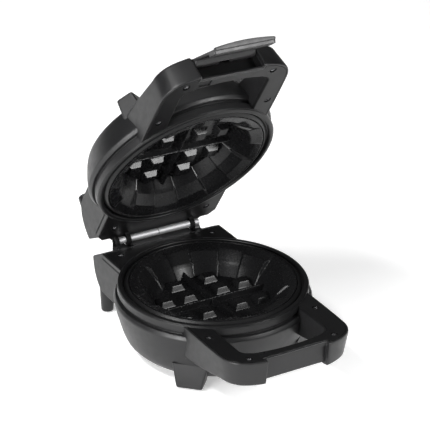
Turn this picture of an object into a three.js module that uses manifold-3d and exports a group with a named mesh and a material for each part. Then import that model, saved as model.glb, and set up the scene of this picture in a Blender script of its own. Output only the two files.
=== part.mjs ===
// Hand-flipped round waffle maker with a hinged lid, shown open.
// Millimetres, +Z up, X along the hinge, -Y towards the handles, floor at z = 0.
//
// Each half is drawn face up about its middle plane: z = 0 is the plane in which the two
// halves meet when closed, and z = -depth is the sole of its feet. The base is lifted on
// to its feet. The lid is the same drawing mirrored in the middle plane and turned about
// the hinge axis, and the latch turns about its pin in the lid's handle.
import * as THREE from 'three';
import { mergeVertices } from 'three/addons/utils/BufferGeometryUtils.js';
import Module from 'manifold-3d';

const wasm = await Module();
wasm.setup();

// Driving sizes

const OPEN_ANGLE = 56; // opening of the lid in the rest pose, degrees
const LATCH_ANGLE = 64; // swing of the latch in the rest pose, degrees

const WALL = 2.4; // moulded wall thickness
const GAP = 0.3; // clearance between neighbouring pieces
const SEGMENTS = 36; // facets of the large round shapes
const FINE = 16; // facets of the small round shapes
const FAR = 400; // reach of the bodies that only cut or clip

const RIM_RADIUS = 80; // cooking plates at the middle plane
const FRAME_WIDTH = 20; // round frame, from the plate's rim to its lip
const RIM_DROP = 3; // middle plane to the lip of the round frame
const DECK_STEP = 1.5; // lip of the frame to the flat decks of handle and hinge block
const DECK_PLATE = 2.8; // thickness of the deck plates
const BORDER = 2.2; // housing wall left standing round the decks
const BOWL = { band: 0.5, bulge: 4.6, seat: 3.8, foot: 4.5, baseRoom: 19.3, lidRoom: 2.8 };
const GROOVE = { drop: 11.5, height: 3.5, depth: 2.1 }; // shadow groove round the bowl
const WALL_CURVE = [
  // inset from the widest radius, and share of the depth below it
  [32.6, 1],
  [22.6, 0.954],
  [15.1, 0.853],
  [10.4, 0.734],
  [3.6, 0.312],
];

const PLATE = {
  rimWidth: 2.5,
  slope: 10, // how far the wall comes in from the mouth to the ledge
  ledgeWidth: 8.5,
  ledgeDrop: 19,
  floorDrop: 29.5,
  thickness: 3,
  flangeWidth: 6,
  flangeDrop: 8.8,
  flangeThickness: 2.2,
  tabs: 8,
  tabAngle: 24,
  tabMouth: 4.5, // how far a tab stands into the pocket at the mouth
  tabLedge: 2, // and at the ledge
};
const GRID = { height: 6.3, studBase: 17, studTop: 10.6, inset: 12.5, pitch: 26.5, ribBase: 6, ribTop: 1.8 };

const HANDLE = {
  grip: 167.5, // distance of the pads' front from the centre
  recessHalf: 35, // half width of the recess that takes the latch
  padWidth: 37.6, // from the recess to the outer side of the grip
  flare: 1.9, // how much wider the arms are at the bowl
  armWidth: 22.6,
  armStart: 50, // where the arms start, inside the bowl
  rootDepth: 42,
  rootLength: 22, // of the deep part of the arms
  shoulder: 32.5, // where the grip's even depth starts, behind its front
  gripDepth: 32,
  recess: 5, // depth of the latch's recess
  barWidth: 12.3,
};
const PAD_CURVE = [
  // share of the pad's width in from its outer side, and distance behind its front
  [0, 29.5],
  [0.0505, 21.5],
  [0.1356, 15.2],
  [0.282, 9.2],
  [0.548, 3.8],
  [0.867, 0.8],
];
const CATCH = { depth: 9.2, overhang: 2.5, baseRise: 3.5 }; // lip on the base's grip for the latch

const BLOCK = { half: 73.3, start: 50, deck: 10.2, back: 11.8, chamfer: 16.5, bottom: 52.5 };
const BLOCK_CURVE = [
  // inset from the rear face and height above the block's bottom, each with its wall share
  [2.4, 21.5, 1, 0.1],
  [8.3, 9.8, 0.8, 0.6],
  [16.8, 2.3, 0.4, 0.9],
  [26, 0, 0, 1],
];
const HINGE = {
  behind: 23, // axis behind the frame's lip
  rod: 3.05,
  rodWall: 1.15,
  play: 0.1, // of the rod in its bores
  sleeveWall: 0.65,
  knuckleWall: 2.4, // of the knuckles round the sleeves' size
  start: -52.4,
  lengths: [4, 8.7, 4.9, 34.7, 39.3, 4.7, 6.2], // knuckle, sleeve, ear, two sleeves, ear, sleeve
  facets: 24,
};
const BLOCK_DIMPLE = { radius: 3, depth: 1.6, drop: 10.6 };

const LATCH = {
  inset: 6.3, // pin behind the pads' front
  drop: 6.5, // pin below the handle's outer face
  clearance: 0.8, // to each end of the recess
  pin: 1.5,
  bushWall: 1.2,
  barrelWall: 4.1,
  bushGap: 7.5, // half of the space between the barrels
  reach: 22, // length below the middle plane
};
const LATCH_CURVE = [
  // share of the latch's half width, and distance of its face behind the pads' front
  [1, 1.6],
  [0.643, 0.2],
  [0.234, -0.8],
];

const SCREW = { shaft: 1.5, headWall: 2, bossWall: 2.2, sink: 0.9, headHeight: 1.3, length: 11 };
const SCREW_PLACES = { arm: 9.8, pad: 14.3, front: 13.3, side: 16.7, rear: 13.1 };
const FRONT_FOOT = { toe: 101, length: 23, reach: 26.6, angle: 46, rise: 26, lean: 4.5, padInset: 11 };
const REAR_FOOT = { inset: 8.3, before: 5.5, tip: 6.6, root: 8.4 };
const PAD = { sink: 1.4, stand: 1, radius: 4.6 };

const ELEMENT = { inset: 15, tube: 3.2, pinX: 13, pinLength: 13, pin: 2 };
const REFLECTOR = { sheet: 0.8, below: 2, overhang: 2 };
const THERMOSTAT = { length: 22, width: 16, height: 7, cap: 4.5, capHeight: 2.5 };
const FUSE = { radius: 2.6, half: 9, lead: 0.8, leadHalf: 15, beside: 8 };
const INLET = { x: 40, drop: 28, radius: 5, play: 0.4, flangeWall: 2.2, flange: 2.5, bore: 3, inside: 13.8, outside: 4.2 };

// Sizes that follow from the driving ones

const DECK = RIM_DROP + DECK_STEP;
const DECK_UNDER = DECK + DECK_PLATE;
const FRAME_RADIUS = RIM_RADIUS + FRAME_WIDTH;
const BAND_RADIUS = FRAME_RADIUS + BOWL.band;
const SHELL_RADIUS = FRAME_RADIUS + BOWL.bulge;
const SOCKET_RADIUS = FRAME_RADIUS - BOWL.seat;
const GROOVE_BOTTOM = GROOVE.drop + GROOVE.height;
const SHELL_DROP = GROOVE_BOTTOM + 4;
const MOUTH_RADIUS = RIM_RADIUS - PLATE.rimWidth;
const LEDGE_RADIUS = MOUTH_RADIUS - PLATE.slope;
const FLOOR_RADIUS = LEDGE_RADIUS - PLATE.ledgeWidth;
const FLANGE_RADIUS = RIM_RADIUS + PLATE.flangeWidth;
const ELEMENT_RADIUS = FLOOR_RADIUS - ELEMENT.inset;
const ELEMENT_DROP = PLATE.floorDrop + PLATE.thickness + GAP + ELEMENT.tube;
const SHEET_DROP = ELEMENT_DROP + ELEMENT.tube + REFLECTOR.below;
const CONTROL_DROP = SHEET_DROP + REFLECTOR.sheet + GAP;
const STACK = CONTROL_DROP + THERMOSTAT.height + THERMOSTAT.capHeight;
const BASE_DEPTH = STACK + BOWL.baseRoom + WALL + BOWL.foot; // middle plane to the soles
const LID_DEPTH = STACK + BOWL.lidRoom + WALL + BOWL.foot;
const HINGE_Y = FRAME_RADIUS + HINGE.behind;
const DECK_END = HINGE_Y - BLOCK.deck;
const BLOCK_REAR = HINGE_Y + BLOCK.back;
const BORE = HINGE.rod + HINGE.play;
const SLEEVE = BORE + HINGE.sleeveWall;
const KNUCKLE_RADIUS = SLEEVE + HINGE.knuckleWall;
const GRIP_X = HANDLE.recessHalf + HANDLE.padWidth;
const WINDOW_HALF = GRIP_X - HANDLE.armWidth;
const BAR_FRONT = HANDLE.grip - HANDLE.recess;
const CATCH_FRONT = BAR_FRONT - CATCH.overhang;
const WINDOW_FRONT = BAR_FRONT - HANDLE.barWidth;
const LATCH_HALF = HANDLE.recessHalf - LATCH.clearance;
const BARREL = LATCH.pin + LATCH.barrelWall;
const BUSH = LATCH.pin + LATCH.bushWall;
const PIVOT = { y: LATCH.inset - HANDLE.grip, z: HANDLE.gripDepth - LATCH.drop }; // latch pin, closed

/** Spans along X of the hinge's pieces, each a gap behind the one before. */
function hingeSpans() {
  let low = HINGE.start;
  return HINGE.lengths.map((length) => {
    const span = [low, low + length];
    low += length + GAP;
    return span;
  });
}
const [KNUCKLE, SLEEVE_1, EAR_1, SLEEVE_2, SLEEVE_3, EAR_2, SLEEVE_4] = hingeSpans();

// Geometry helpers

/** Turns a closed three.js geometry into a manifold solid that faces outwards. */
function solid(geometry) {
  geometry.deleteAttribute('normal');
  geometry.deleteAttribute('uv');
  const merged = mergeVertices(geometry, 1e-4);
  const position = merged.attributes.position;
  const index = merged.index.array;
  const triangles = [];
  for (let i = 0; i < index.length; i += 3) {
    const [a, b, c] = [index[i], index[i + 1], index[i + 2]];
    if (a !== b && b !== c && c !== a) triangles.push([a, b, c]);
  }
  const point = (i) => new THREE.Vector3().fromBufferAttribute(position, i);
  let volume = 0;
  for (const [a, b, c] of triangles) volume += point(a).dot(point(b).cross(point(c)));
  if (volume < 0) triangles.forEach((triangle) => triangle.reverse());
  const vertProperties = new Float32Array(position.array);
  const triVerts = new Uint32Array(triangles.flat());
  return new wasm.Manifold(new wasm.Mesh({ numProp: 3, vertProperties, triVerts }));
}

/** Turned body about the Z axis from a profile of [radius, z] pairs. */
function turned(profile, segments = SEGMENTS) {
  const points = profile.map(([r, z]) => new THREE.Vector2(r, z));
  const onAxis = profile[0][0] === 0 && profile[profile.length - 1][0] === 0;
  if (!onAxis) points.push(points[0].clone());
  return solid(new THREE.LatheGeometry(points, segments).rotateX(Math.PI / 2));
}

/** Geometry of a flat outline raised along Z by a length. */
function raised(outline, depth) {
  const shape = new THREE.Shape(outline.map(([x, y]) => new THREE.Vector2(x, y)));
  return new THREE.ExtrudeGeometry(shape, { depth, bevelEnabled: false });
}

/** Upright prism over a plan outline of [x, y] pairs, from z = low to z = high. */
function upright(outline, low, high) {
  return solid(raised(outline, high - low).translate(0, 0, low));
}

/** Prism along X over a side outline of [y, z] pairs, from x = low to x = high. */
function crossways(outline, low, high) {
  const turn = new THREE.Matrix4().makeBasis(
    new THREE.Vector3(0, 1, 0),
    new THREE.Vector3(0, 0, 1),
    new THREE.Vector3(1, 0, 0),
  );
  return solid(raised(outline, high - low).translate(0, 0, low).applyMatrix4(turn));
}

/** Box between two corners. */
function box([x0, y0, z0], [x1, y1, z1]) {
  const body = new THREE.BoxGeometry(x1 - x0, y1 - y0, z1 - z0);
  return solid(body.translate((x0 + x1) / 2, (y0 + y1) / 2, (z0 + z1) / 2));
}

/** Upright round post, which may taper from its low end to its high end. */
function post(x, y, low, high, lowRadius, highRadius = lowRadius, segments = 12) {
  const body = new THREE.CylinderGeometry(highRadius, lowRadius, high - low, segments);
  return solid(body.rotateX(Math.PI / 2).translate(x, y, (low + high) / 2));
}

/** Round bar along X about the line (y, z). */
function bar(y, z, low, high, radius, segments = FINE) {
  const body = new THREE.CylinderGeometry(radius, radius, high - low, segments);
  return solid(body.rotateZ(Math.PI / 2).translate((low + high) / 2, y, z));
}

/** Joins solids into one. */
function join(first, ...rest) {
  return rest.reduce((sum, next) => sum.add(next), first);
}

/** Adds the mirror image in the plane x = 0 to the right side of an outline. */
function mirrored(outline) {
  return [...outline, ...outline.map(([x, y]) => [-x, y]).reverse()];
}

/** Both signs of x for a list of [x, y] positions. */
function bothSides(positions) {
  return positions.flatMap(([x, y]) => [[x, y], [-x, y]]);
}

// Outlines of a half

/** Plan outline of the handle with the recess between its pads, set in by a distance. */
function handleOutline(inset) {
  const edge = HANDLE.recessHalf + inset;
  const rounded = PAD_CURVE.map(([share, behind]) => {
    const x = GRIP_X - share * HANDLE.padWidth - (1 - share) * inset;
    return [x, behind - HANDLE.grip + (1 - Math.min(1, behind / 30) ** 2) * inset];
  });
  return mirrored([
    [GRIP_X + HANDLE.flare - inset, -HANDLE.armStart],
    ...rounded,
    [edge, inset - HANDLE.grip],
    [edge, inset - BAR_FRONT],
  ]);
}

/** Plan outline of the handle's finger window, grown by a distance. */
function windowOutline(grow) {
  const half = WINDOW_HALF + grow;
  const front = WINDOW_FRONT + grow;
  return mirrored([
    [half, -HANDLE.armStart],
    [half, 13 - front],
    [half - 2.5, 8.4 - front],
    [half - 12.5, 3.2 - front],
    [12, -front],
  ]);
}

/** Side outline of the hinge block below its deck, set in by a distance. */
function blockOutline(inset) {
  const top = inset > 0 ? 2 : -DECK;
  const end = DECK_END - 0.6 * inset;
  const rounded = BLOCK_CURVE.map(([back, up, share, rise]) => [
    BLOCK_REAR - back - share * inset,
    up - BLOCK.bottom + rise * inset,
  ]);
  return [
    [BLOCK.start, top],
    [end, top],
    [end, -DECK - 0.55 * inset],
    [BLOCK_REAR - inset, -BLOCK.chamfer - 0.6 * inset],
    ...rounded,
    [BLOCK.start, inset - BLOCK.bottom],
  ];
}

/** Outer and inner profiles of the bowl for a half of the given depth. */
function bowlProfiles(depth) {
  const floor = depth - BOWL.foot;
  const wall = WALL_CURVE.map(([inset, share]) => [
    SHELL_RADIUS - inset,
    -SHELL_DROP - share * (floor - SHELL_DROP),
  ]);
  const groove = BAND_RADIUS - GROOVE.depth;
  const outer = [
    [0, -floor],
    ...wall,
    [SHELL_RADIUS, -SHELL_DROP],
    [SHELL_RADIUS - 2.2, -GROOVE_BOTTOM],
    [groove, -GROOVE_BOTTOM],
    [groove, -GROOVE.drop],
    [BAND_RADIUS, -GROOVE.drop],
    [BAND_RADIUS, -DECK - 0.1],
    [0, -DECK - 0.1],
  ];
  const [flat, turn, , side, waist] = wall;
  const inner = [
    [0, WALL - floor],
    [flat[0] - 1, flat[1] + WALL],
    [turn[0] - 1.5, turn[1] + WALL],
    [side[0] - WALL - 0.2, side[1]],
    [waist[0] - WALL - 0.2, waist[1]],
    [SHELL_RADIUS - WALL - 0.4, -SHELL_DROP - 1],
    [SOCKET_RADIUS, -GROOVE_BOTTOM - 2],
    [SOCKET_RADIUS, 2],
    [0, 2],
  ];
  return { outer, inner };
}

/** Positions of the screws that hold the frame. */
function screwPositions() {
  return bothSides([
    [GRIP_X - SCREW_PLACES.arm, 0.6 - FRAME_RADIUS],
    [HANDLE.recessHalf + SCREW_PLACES.pad, SCREW_PLACES.front - HANDLE.grip],
    [BLOCK.half - SCREW_PLACES.side, DECK_END - SCREW_PLACES.rear],
  ]);
}

/** Positions of the round pads under the feet. */
function padPositions() {
  const turn = THREE.MathUtils.degToRad(90 - FRONT_FOOT.angle);
  const r = FRONT_FOOT.toe - FRONT_FOOT.padInset;
  return bothSides([[r * Math.sin(turn), -r * Math.cos(turn)], rearFoot()]);
}

function rearFoot() {
  return [BLOCK.half - REAR_FOOT.inset, HINGE_Y - REAR_FOOT.before];
}

// The housing of a half

/** Front foot, tapered on all its sides, at one corner of the bowl. */
function frontFoot(sole, side, [halfTip, halfRoot]) {
  const { toe, length, angle, rise, lean } = FRONT_FOOT;
  const root = sole + rise;
  const heel = Math.min(toe - length, SHELL_RADIUS - FRONT_FOOT.reach);
  const along = crossways(
    [[-heel, sole], [1.8 - toe, sole], [-toe, sole + 3], [lean - toe, root], [-heel, root]],
    -FAR,
    FAR,
  );
  const right = [[halfTip - 1.5, sole], [halfTip, sole + 2.2], [halfRoot, root]];
  const across = solid(raised(mirrored(right), FAR).rotateX(Math.PI / 2));
  return along.intersect(across).rotate([0, 0, side * (90 - angle)]);
}

/** Knuckle of the hinge with the web that carries it. */
function knuckle([low, high]) {
  const y = HINGE_Y;
  const web = crossways([[y - 5, 0.5], [y + 4.5, -1.5], [y + 5, -14.6], [y - 8, -8.2]], low, high);
  return bar(y, 0, low, high, KNUCKLE_RADIUS, HINGE.facets).add(web);
}

/** Open cradle under a sleeve of the hinge. */
function cradle([low, high]) {
  const y = HINGE_Y;
  const cheek = crossways([[y - 4.6, -3.6], [y + 4.6, -3.6], [y + 5, -14.6], [y - 8, -8.2]], low, high);
  return cheek.subtract(bar(y, 0, low - 1, high + 1, SLEEVE + GAP));
}

/** Raised step along the rear edge of the deck, in front of a sleeve. */
function hingeStep([low, high]) {
  const d = DECK_END;
  const side = [[d - 1.4, -9], [d - 0.8, -3.6], [d + 4.6, -3.6], [d + 6.6, -7], [d + 5.6, -9]];
  return crossways(side, low, high);
}

/** Handle before it is hollowed, with the base's lip for the latch. */
function handleBody(options, bowl) {
  const { grip, recessHalf, armStart, rootDepth, rootLength, shoulder, gripDepth } = HANDLE;
  const side = crossways(
    [
      [-armStart, -DECK],
      [-FAR, -DECK],
      [-FAR, -gripDepth],
      [shoulder - grip, -gripDepth],
      [-armStart - rootLength, -rootDepth],
      [-armStart, -rootDepth - 1],
    ],
    -FAR,
    FAR,
  );
  const window = upright(windowOutline(0), -FAR, 0).subtract(bowl);
  const handle = upright(handleOutline(0), -FAR, 0).intersect(side).subtract(window);
  if (!options.catchLip) return handle;
  const under = box([-recessHalf, -FAR, -FAR], [recessHalf, 2.2 - WINDOW_FRONT, -options.barDepth]);
  const face = box([-recessHalf, -FAR, -FAR], [recessHalf, -CATCH_FRONT, -CATCH.depth]);
  return handle.subtract(join(under, face));
}

/** Space inside the handle's walls. */
function handleCavity(options) {
  const inside = upright(handleOutline(WALL), WALL - options.barDepth, 2);
  const cavity = inside.subtract(upright(windowOutline(WALL), -FAR, FAR));
  if (!options.catchLip) return cavity;
  const edge = HANDLE.recessHalf + WALL;
  return cavity.subtract(box([-edge, -FAR, -FAR], [edge, WALL - CATCH_FRONT, FAR]));
}

/** Opening of the lid's handle that the latch swings in, with its pin's holes. */
function latchBay() {
  const edge = LATCH_HALF + 0.4;
  const reach = BARREL + 2 * GAP;
  const { y, z } = PIVOT;
  const bay = box([-edge, -FAR, WALL - HANDLE.gripDepth], [edge, y + 3, -DECK_UNDER]);
  const notch = box([-edge, -FAR, -HANDLE.gripDepth - 1], [edge, y + reach, reach - z]);
  const end = HANDLE.recessHalf + 2 * WALL;
  return join(bay, notch, bar(y, -z, -end, end, LATCH.pin + GAP, 12));
}

/** Area of the sunk decks, from below the decks to above them. */
function deckArea(inset) {
  const border = BORDER + inset;
  const edge = BLOCK.half - border;
  const hingeDeck = box([-edge, BLOCK.start, -FAR], [edge, DECK_END - border - 0.2, FAR]);
  const core = FRAME_RADIUS - 10;
  const bowl = turned([[0, -FAR], [core, -FAR], [core, FAR], [0, FAR]]);
  const window = upright(windowOutline(0), -FAR, FAR).subtract(bowl);
  return upright(handleOutline(border), -FAR, FAR).subtract(window).add(hingeDeck);
}

/** Everything that is cut from a housing for its frame, screws, pads and block ends. */
function housingCuts(sole) {
  const cuts = [deckArea(0).intersect(box([-FAR, -FAR, -DECK_UNDER - GAP], [FAR, FAR, 2]))];
  for (const [x, y] of screwPositions()) {
    cuts.push(post(x, y, -DECK_UNDER - SCREW.length, 2, SCREW.shaft + GAP));
  }
  for (const [x, y] of padPositions()) {
    const radius = PAD.radius + GAP;
    cuts.push(post(x, y, sole - 1, sole + PAD.sink + GAP, radius, radius, FINE));
  }
  const { radius, depth, drop } = BLOCK_DIMPLE;
  const [inner, outer] = [BLOCK.half - depth, BLOCK.half + 1];
  cuts.push(bar(HINGE_Y + 0.6, -drop, inner, outer, radius, 12));
  cuts.push(bar(HINGE_Y + 0.6, -drop, -outer, -inner, radius, 12));
  return join(...cuts);
}

/** Moulded shell of a half: bowl, handle, hinge block and feet, open towards the frame. */
function housing(options) {
  const sole = PAD.stand - options.depth;
  const { outer, inner } = bowlProfiles(options.depth);
  const bowl = turned(outer);
  const block = crossways(blockOutline(0), -BLOCK.half, BLOCK.half);
  const feet = [1, -1].map((side) => frontFoot(sole, side, options.frontFoot));
  for (const [x, y] of bothSides([rearFoot()])) {
    feet.push(post(x, y, sole, 8.5 - BLOCK.bottom, REAR_FOOT.tip, REAR_FOOT.root, FINE));
  }
  const blockCavity = crossways(blockOutline(WALL), WALL - BLOCK.half, BLOCK.half - WALL);
  let shell = join(bowl, handleBody(options, bowl), block, ...feet);
  shell = shell.subtract(join(turned(inner), handleCavity(options), blockCavity));
  for (const [x, y] of screwPositions()) {
    const floor = y > 0 ? 1 - BLOCK.bottom : WALL - 1 - options.barDepth;
    shell = shell.add(post(x, y, floor, -DECK_UNDER - GAP, SCREW.shaft + SCREW.bossWall));
  }
  shell = shell.subtract(housingCuts(sole));
  shell = join(shell, ...options.knuckles.map(knuckle), ...options.cradles.map(cradle));
  if (options.step) shell = shell.add(hingeStep(options.step));
  shell = shell.subtract(bar(HINGE_Y, 0, -BLOCK.half, BLOCK.half, BORE, HINGE.facets));
  if (options.openEnd) {
    const [[low]] = options.knuckles;
    shell = shell.subtract(bar(HINGE_Y, 0, low - 1, low + 2.6, SLEEVE + 0.8));
  }
  if (options.latchBay) shell = shell.subtract(latchBay());
  if (options.inlet) shell = shell.subtract(inletBar(INLET.radius + INLET.play, DECK_END, FAR));
  return shell;
}

// The other pieces of a half

/** Frame of a half: the round band with its sealing grooves, and the decks that screw down. */
function coverFrame(options) {
  const lip = -RIM_DROP;
  const r = RIM_RADIUS;
  const under = GAP - PLATE.flangeDrop;
  const ring = turned([
    [r + 0.4, under],
    [r + 0.4, lip - 2.2],
    [r + 0.9, lip - 1.2],
    [r + 2.6, lip - 1.2],
    [r + 3, lip - 2.8],
    [r + 4.2, lip - 2.8],
    [r + 4.6, lip - 1.2],
    [r + 6.4, lip - 1.2],
    [r + 6.8, lip - 3],
    [r + 8.9, lip - 3],
    [r + 9.4, lip - 0.2],
    [FRAME_RADIUS - 1.2, lip],
    [FRAME_RADIUS, lip - 0.7],
    [FRAME_RADIUS, 0.2 - DECK],
    [SOCKET_RADIUS - GAP, 0.2 - DECK],
    [SOCKET_RADIUS - GAP, under],
  ]);
  const layer = box([-FAR, -FAR, -DECK_UNDER], [FAR, FAR, -DECK]);
  const edge = FRAME_RADIUS - 8;
  const well = turned([[0, -FAR], [edge, -FAR], [edge, FAR], [0, FAR]]);
  const decks = deckArea(GAP).intersect(layer).subtract(well);
  const cuts = [];
  for (const [x, y] of screwPositions()) {
    const head = SCREW.shaft + SCREW.headWall + GAP;
    cuts.push(post(x, y, -DECK - SCREW.sink - SCREW.headHeight, 2, head));
    cuts.push(post(x, y, -FAR, 2, SCREW.shaft + GAP));
  }
  const [[x0, front], [x1, back]] = options.pocket;
  cuts.push(box([x0, front - HANDLE.grip, -DECK - 1.1], [x1, back - HANDLE.grip, 2]));
  return decks.add(ring).subtract(join(...cuts));
}

/** Cast cooking plate: a stepped dish with tabs round its wall, crossed ribs and studs. */
function cookingPlate() {
  const { ledgeDrop, floorDrop, thickness, flangeDrop, flangeThickness } = PLATE;
  const under = -floorDrop - thickness;
  const flangeUnder = -flangeDrop - flangeThickness;
  const body = turned([
    [0, under],
    [FLOOR_RADIUS + 2.5, under],
    [LEDGE_RADIUS + thickness - 0.1, -ledgeDrop - 1],
    [MOUTH_RADIUS, flangeUnder],
    [FLANGE_RADIUS, flangeUnder],
    [FLANGE_RADIUS, -flangeDrop],
    [RIM_RADIUS, -flangeDrop],
    [RIM_RADIUS, -GAP - 0.6],
    [RIM_RADIUS - 0.6, -GAP],
    [0, -GAP],
  ]);
  const pocket = turned([
    [0, -floorDrop],
    [FLOOR_RADIUS, -floorDrop],
    [LEDGE_RADIUS - 0.8, -ledgeDrop],
    [LEDGE_RADIUS, 0.6 - ledgeDrop],
    [MOUTH_RADIUS, -GAP],
    [MOUTH_RADIUS, 2],
    [0, 2],
  ]);
  return join(body.subtract(pocket), plateTabs(), ...plateGrid());
}

/** Tabs that stand in from the wall of a cooking plate. */
function plateTabs() {
  const { ledgeDrop, tabMouth, tabLedge, tabAngle, tabs } = PLATE;
  const ring = turned([
    [LEDGE_RADIUS - tabLedge, -ledgeDrop],
    [LEDGE_RADIUS + 1, -ledgeDrop - 0.5],
    [MOUTH_RADIUS + 1, -GAP],
    [MOUTH_RADIUS - tabMouth, -GAP],
  ]);
  const half = THREE.MathUtils.degToRad(tabAngle / 2);
  const wedges = [];
  for (let i = 0; i < tabs; i += 1) {
    const centre = ((i + 0.5) * 2 * Math.PI) / tabs;
    const end = (a) => [FAR * Math.cos(centre + a), FAR * Math.sin(centre + a)];
    wedges.push(upright([[0, 0], end(-half), end(half)], -FAR, FAR));
  }
  return ring.intersect(join(...wedges));
}

/** Two crossed ribs and twelve square studs on the floor of a cooking plate. */
function plateGrid() {
  const { height, ribBase, ribTop, studBase, studTop, inset, pitch } = GRID;
  const crest = height - PLATE.floorDrop;
  const section = mirrored([[ribBase / 2, -PLATE.floorDrop - 1], [ribTop / 2, crest]]);
  const rib = crossways(section, -FLOOR_RADIUS - 3.5, FLOOR_RADIUS + 3.5);
  const far = FLOOR_RADIUS - inset;
  const near = far - pitch;
  const places = [[near, near], [far, near], [near, far]].flatMap(([x, y]) => [[x, y], [x, -y]]);
  const [top, root] = [studTop / Math.SQRT2, studBase / Math.SQRT2 + 0.4];
  const studs = bothSides(places).map(([x, y]) => {
    const stud = new THREE.CylinderGeometry(top, root, height + 1, 4, 1, false, Math.PI / 4);
    return solid(stud.rotateX(Math.PI / 2).translate(x, y, crest - (height + 1) / 2));
  });
  return [rib, rib.rotate([0, 0, 90]), ...studs];
}

/** Places of the heating element's two pins. */
function pinPositions() {
  return bothSides([[ELEMENT.pinX, Math.sqrt(ELEMENT_RADIUS ** 2 - ELEMENT.pinX ** 2)]]);
}

function heatingElement() {
  const { tube, pin, pinLength } = ELEMENT;
  const ring = new THREE.TorusGeometry(ELEMENT_RADIUS, tube, 6, 24).translate(0, 0, -ELEMENT_DROP);
  const pins = pinPositions().map(([x, y]) => post(x, y, -ELEMENT_DROP - pinLength, -ELEMENT_DROP, pin));
  return join(solid(ring), ...pins);
}

/** Sheet-metal dish under the element, below the cooking plate's flange. */
function reflector() {
  const { sheet, overhang } = REFLECTOR;
  const top = -PLATE.flangeDrop - PLATE.flangeThickness - GAP;
  const edge = FLANGE_RADIUS + overhang;
  const dish = turned([
    [0, -SHEET_DROP - sheet],
    [FLOOR_RADIUS + 7.6, -SHEET_DROP - sheet],
    [MOUTH_RADIUS + 1.7, top - sheet],
    [edge, top - sheet],
    [edge, top],
    [MOUTH_RADIUS + 1, top],
    [FLOOR_RADIUS + 7, -SHEET_DROP],
    [0, -SHEET_DROP],
  ]);
  const holes = pinPositions().map(([x, y]) => post(x, y, -FAR, 0, ELEMENT.pin + 0.8));
  return dish.subtract(join(...holes));
}

function thermostat() {
  const { length, width, height, cap, capHeight } = THERMOSTAT;
  const top = -CONTROL_DROP;
  const body = box([-length / 2, -width / 2, top - height], [length / 2, width / 2, top]);
  return body.add(post(0, 0, top - height - capHeight, top - height + 1, cap));
}

function thermalFuse() {
  const { radius, half, lead, leadHalf, beside } = FUSE;
  const y = THERMOSTAT.width / 2 + beside;
  const z = -CONTROL_DROP - radius;
  return bar(y, z, -half, half, radius, 12).add(bar(y, z, -leadHalf, leadHalf, lead, 8));
}

function screw(x, y) {
  const { shaft, headWall, headHeight, length, sink } = SCREW;
  const top = -DECK - sink;
  const radius = shaft + headWall;
  const head = post(x, y, top - headHeight + GAP, top, radius, radius - 0.6);
  const slot = box([x - 2.2, y - 0.5, top - 0.6], [x + 2.2, y + 0.5, top + 1]);
  return head.subtract(slot).add(post(x, y, top - length, top - headHeight + 0.5, shaft, shaft, 8));
}

function footPad(x, y, depth) {
  return post(x, y, -depth, PAD.stand + PAD.sink - depth, PAD.radius, PAD.radius, FINE);
}

/** Round bar along Y at the cord inlet of the hinge block. */
function inletBar(radius, low, high) {
  const body = new THREE.CylinderGeometry(radius, radius, high - low, FINE);
  return solid(body.translate(INLET.x, (low + high) / 2, -INLET.drop));
}

/** Gland in the hinge block that the cord would come through. */
function cordGland() {
  const { radius, flangeWall, flange, bore, inside, outside } = INLET;
  const low = BLOCK_REAR - inside;
  const tube = inletBar(radius, low, BLOCK_REAR + outside);
  return tube.add(inletBar(radius + flangeWall, low, low + flange)).subtract(inletBar(bore, 0, FAR));
}

// Latch and hinge

/** Latch in its closed position, in front of the base's grip. */
function latchLever() {
  const { y, z } = PIVOT;
  const { bushGap, pin, reach } = LATCH;
  const half = LATCH_HALF;
  const back = -BAR_FRONT - 0.5;
  const tooth = -CATCH.depth - 0.4;
  const face = LATCH_CURVE.map(([share, behind]) => [share * half, behind - HANDLE.grip]);
  const plan = (inner, out) => mirrored([[half, inner], ...face.map(([px, py]) => [px, py - out])]);
  const paddle = upright(plan(back, 0), tooth - 1, z);
  const tip = upright(plan(-CATCH_FRONT - GAP, 0), -reach, tooth);
  const lip = upright(plan(back - 1.2, 1.2), -reach - 2, 0.6 - reach);
  const groove = box([-half - 1, back - 0.3, -reach - 1], [half + 1, back + 0.7, 1.5 - reach]);
  const inside = [[half - WALL, back + 2], ...face.map(([px, py]) => [px - 1.4, py + WALL])];
  const hollow = upright(mirrored(inside), tooth + 3.6, z - BARREL - 3);
  const barrels = [bar(y, z, bushGap, half, BARREL), bar(y, z, -half, -bushGap, BARREL)];
  const bushRoom = bar(y, z, -bushGap, bushGap, BUSH + 0.5, 12);
  const bore = bar(y, z, -half - 1, half + 1, pin + 0.08, 12);
  return join(paddle, tip, lip, ...barrels).subtract(join(groove, hollow, bushRoom, bore));
}

function latchPin() {
  const end = HANDLE.recessHalf + WALL - 0.6;
  return bar(PIVOT.y, PIVOT.z, -end, end, LATCH.pin, 12);
}

function latchBush() {
  const { y, z } = PIVOT;
  const end = LATCH.bushGap - 0.7;
  return bar(y, z, -end, end, BUSH, 12).subtract(bar(y, z, -FAR, FAR, LATCH.pin + GAP, 12));
}

function hingeSleeve([low, high]) {
  return bar(HINGE_Y, 0, low, high, SLEEVE).subtract(bar(HINGE_Y, 0, low - 1, high + 1, BORE));
}

/** Tube that carries the sleeves, and the wire that runs through it. */
function hingeCore() {
  const [low, high] = [KNUCKLE[0] + 1.4, SLEEVE_4[1]];
  const hollow = HINGE.rod - HINGE.rodWall;
  const rod = bar(HINGE_Y, 0, low, high, HINGE.rod, HINGE.facets);
  const wire = bar(HINGE_Y, 0, low + 0.4, high - 0.4, hollow - 0.4, 8);
  return { rod: rod.subtract(bar(HINGE_Y, 0, -FAR, FAR, hollow, 12)), wire };
}

// Looks

function material(color, roughness, metalness) {
  return new THREE.MeshStandardMaterial({ color, roughness, metalness });
}

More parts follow.
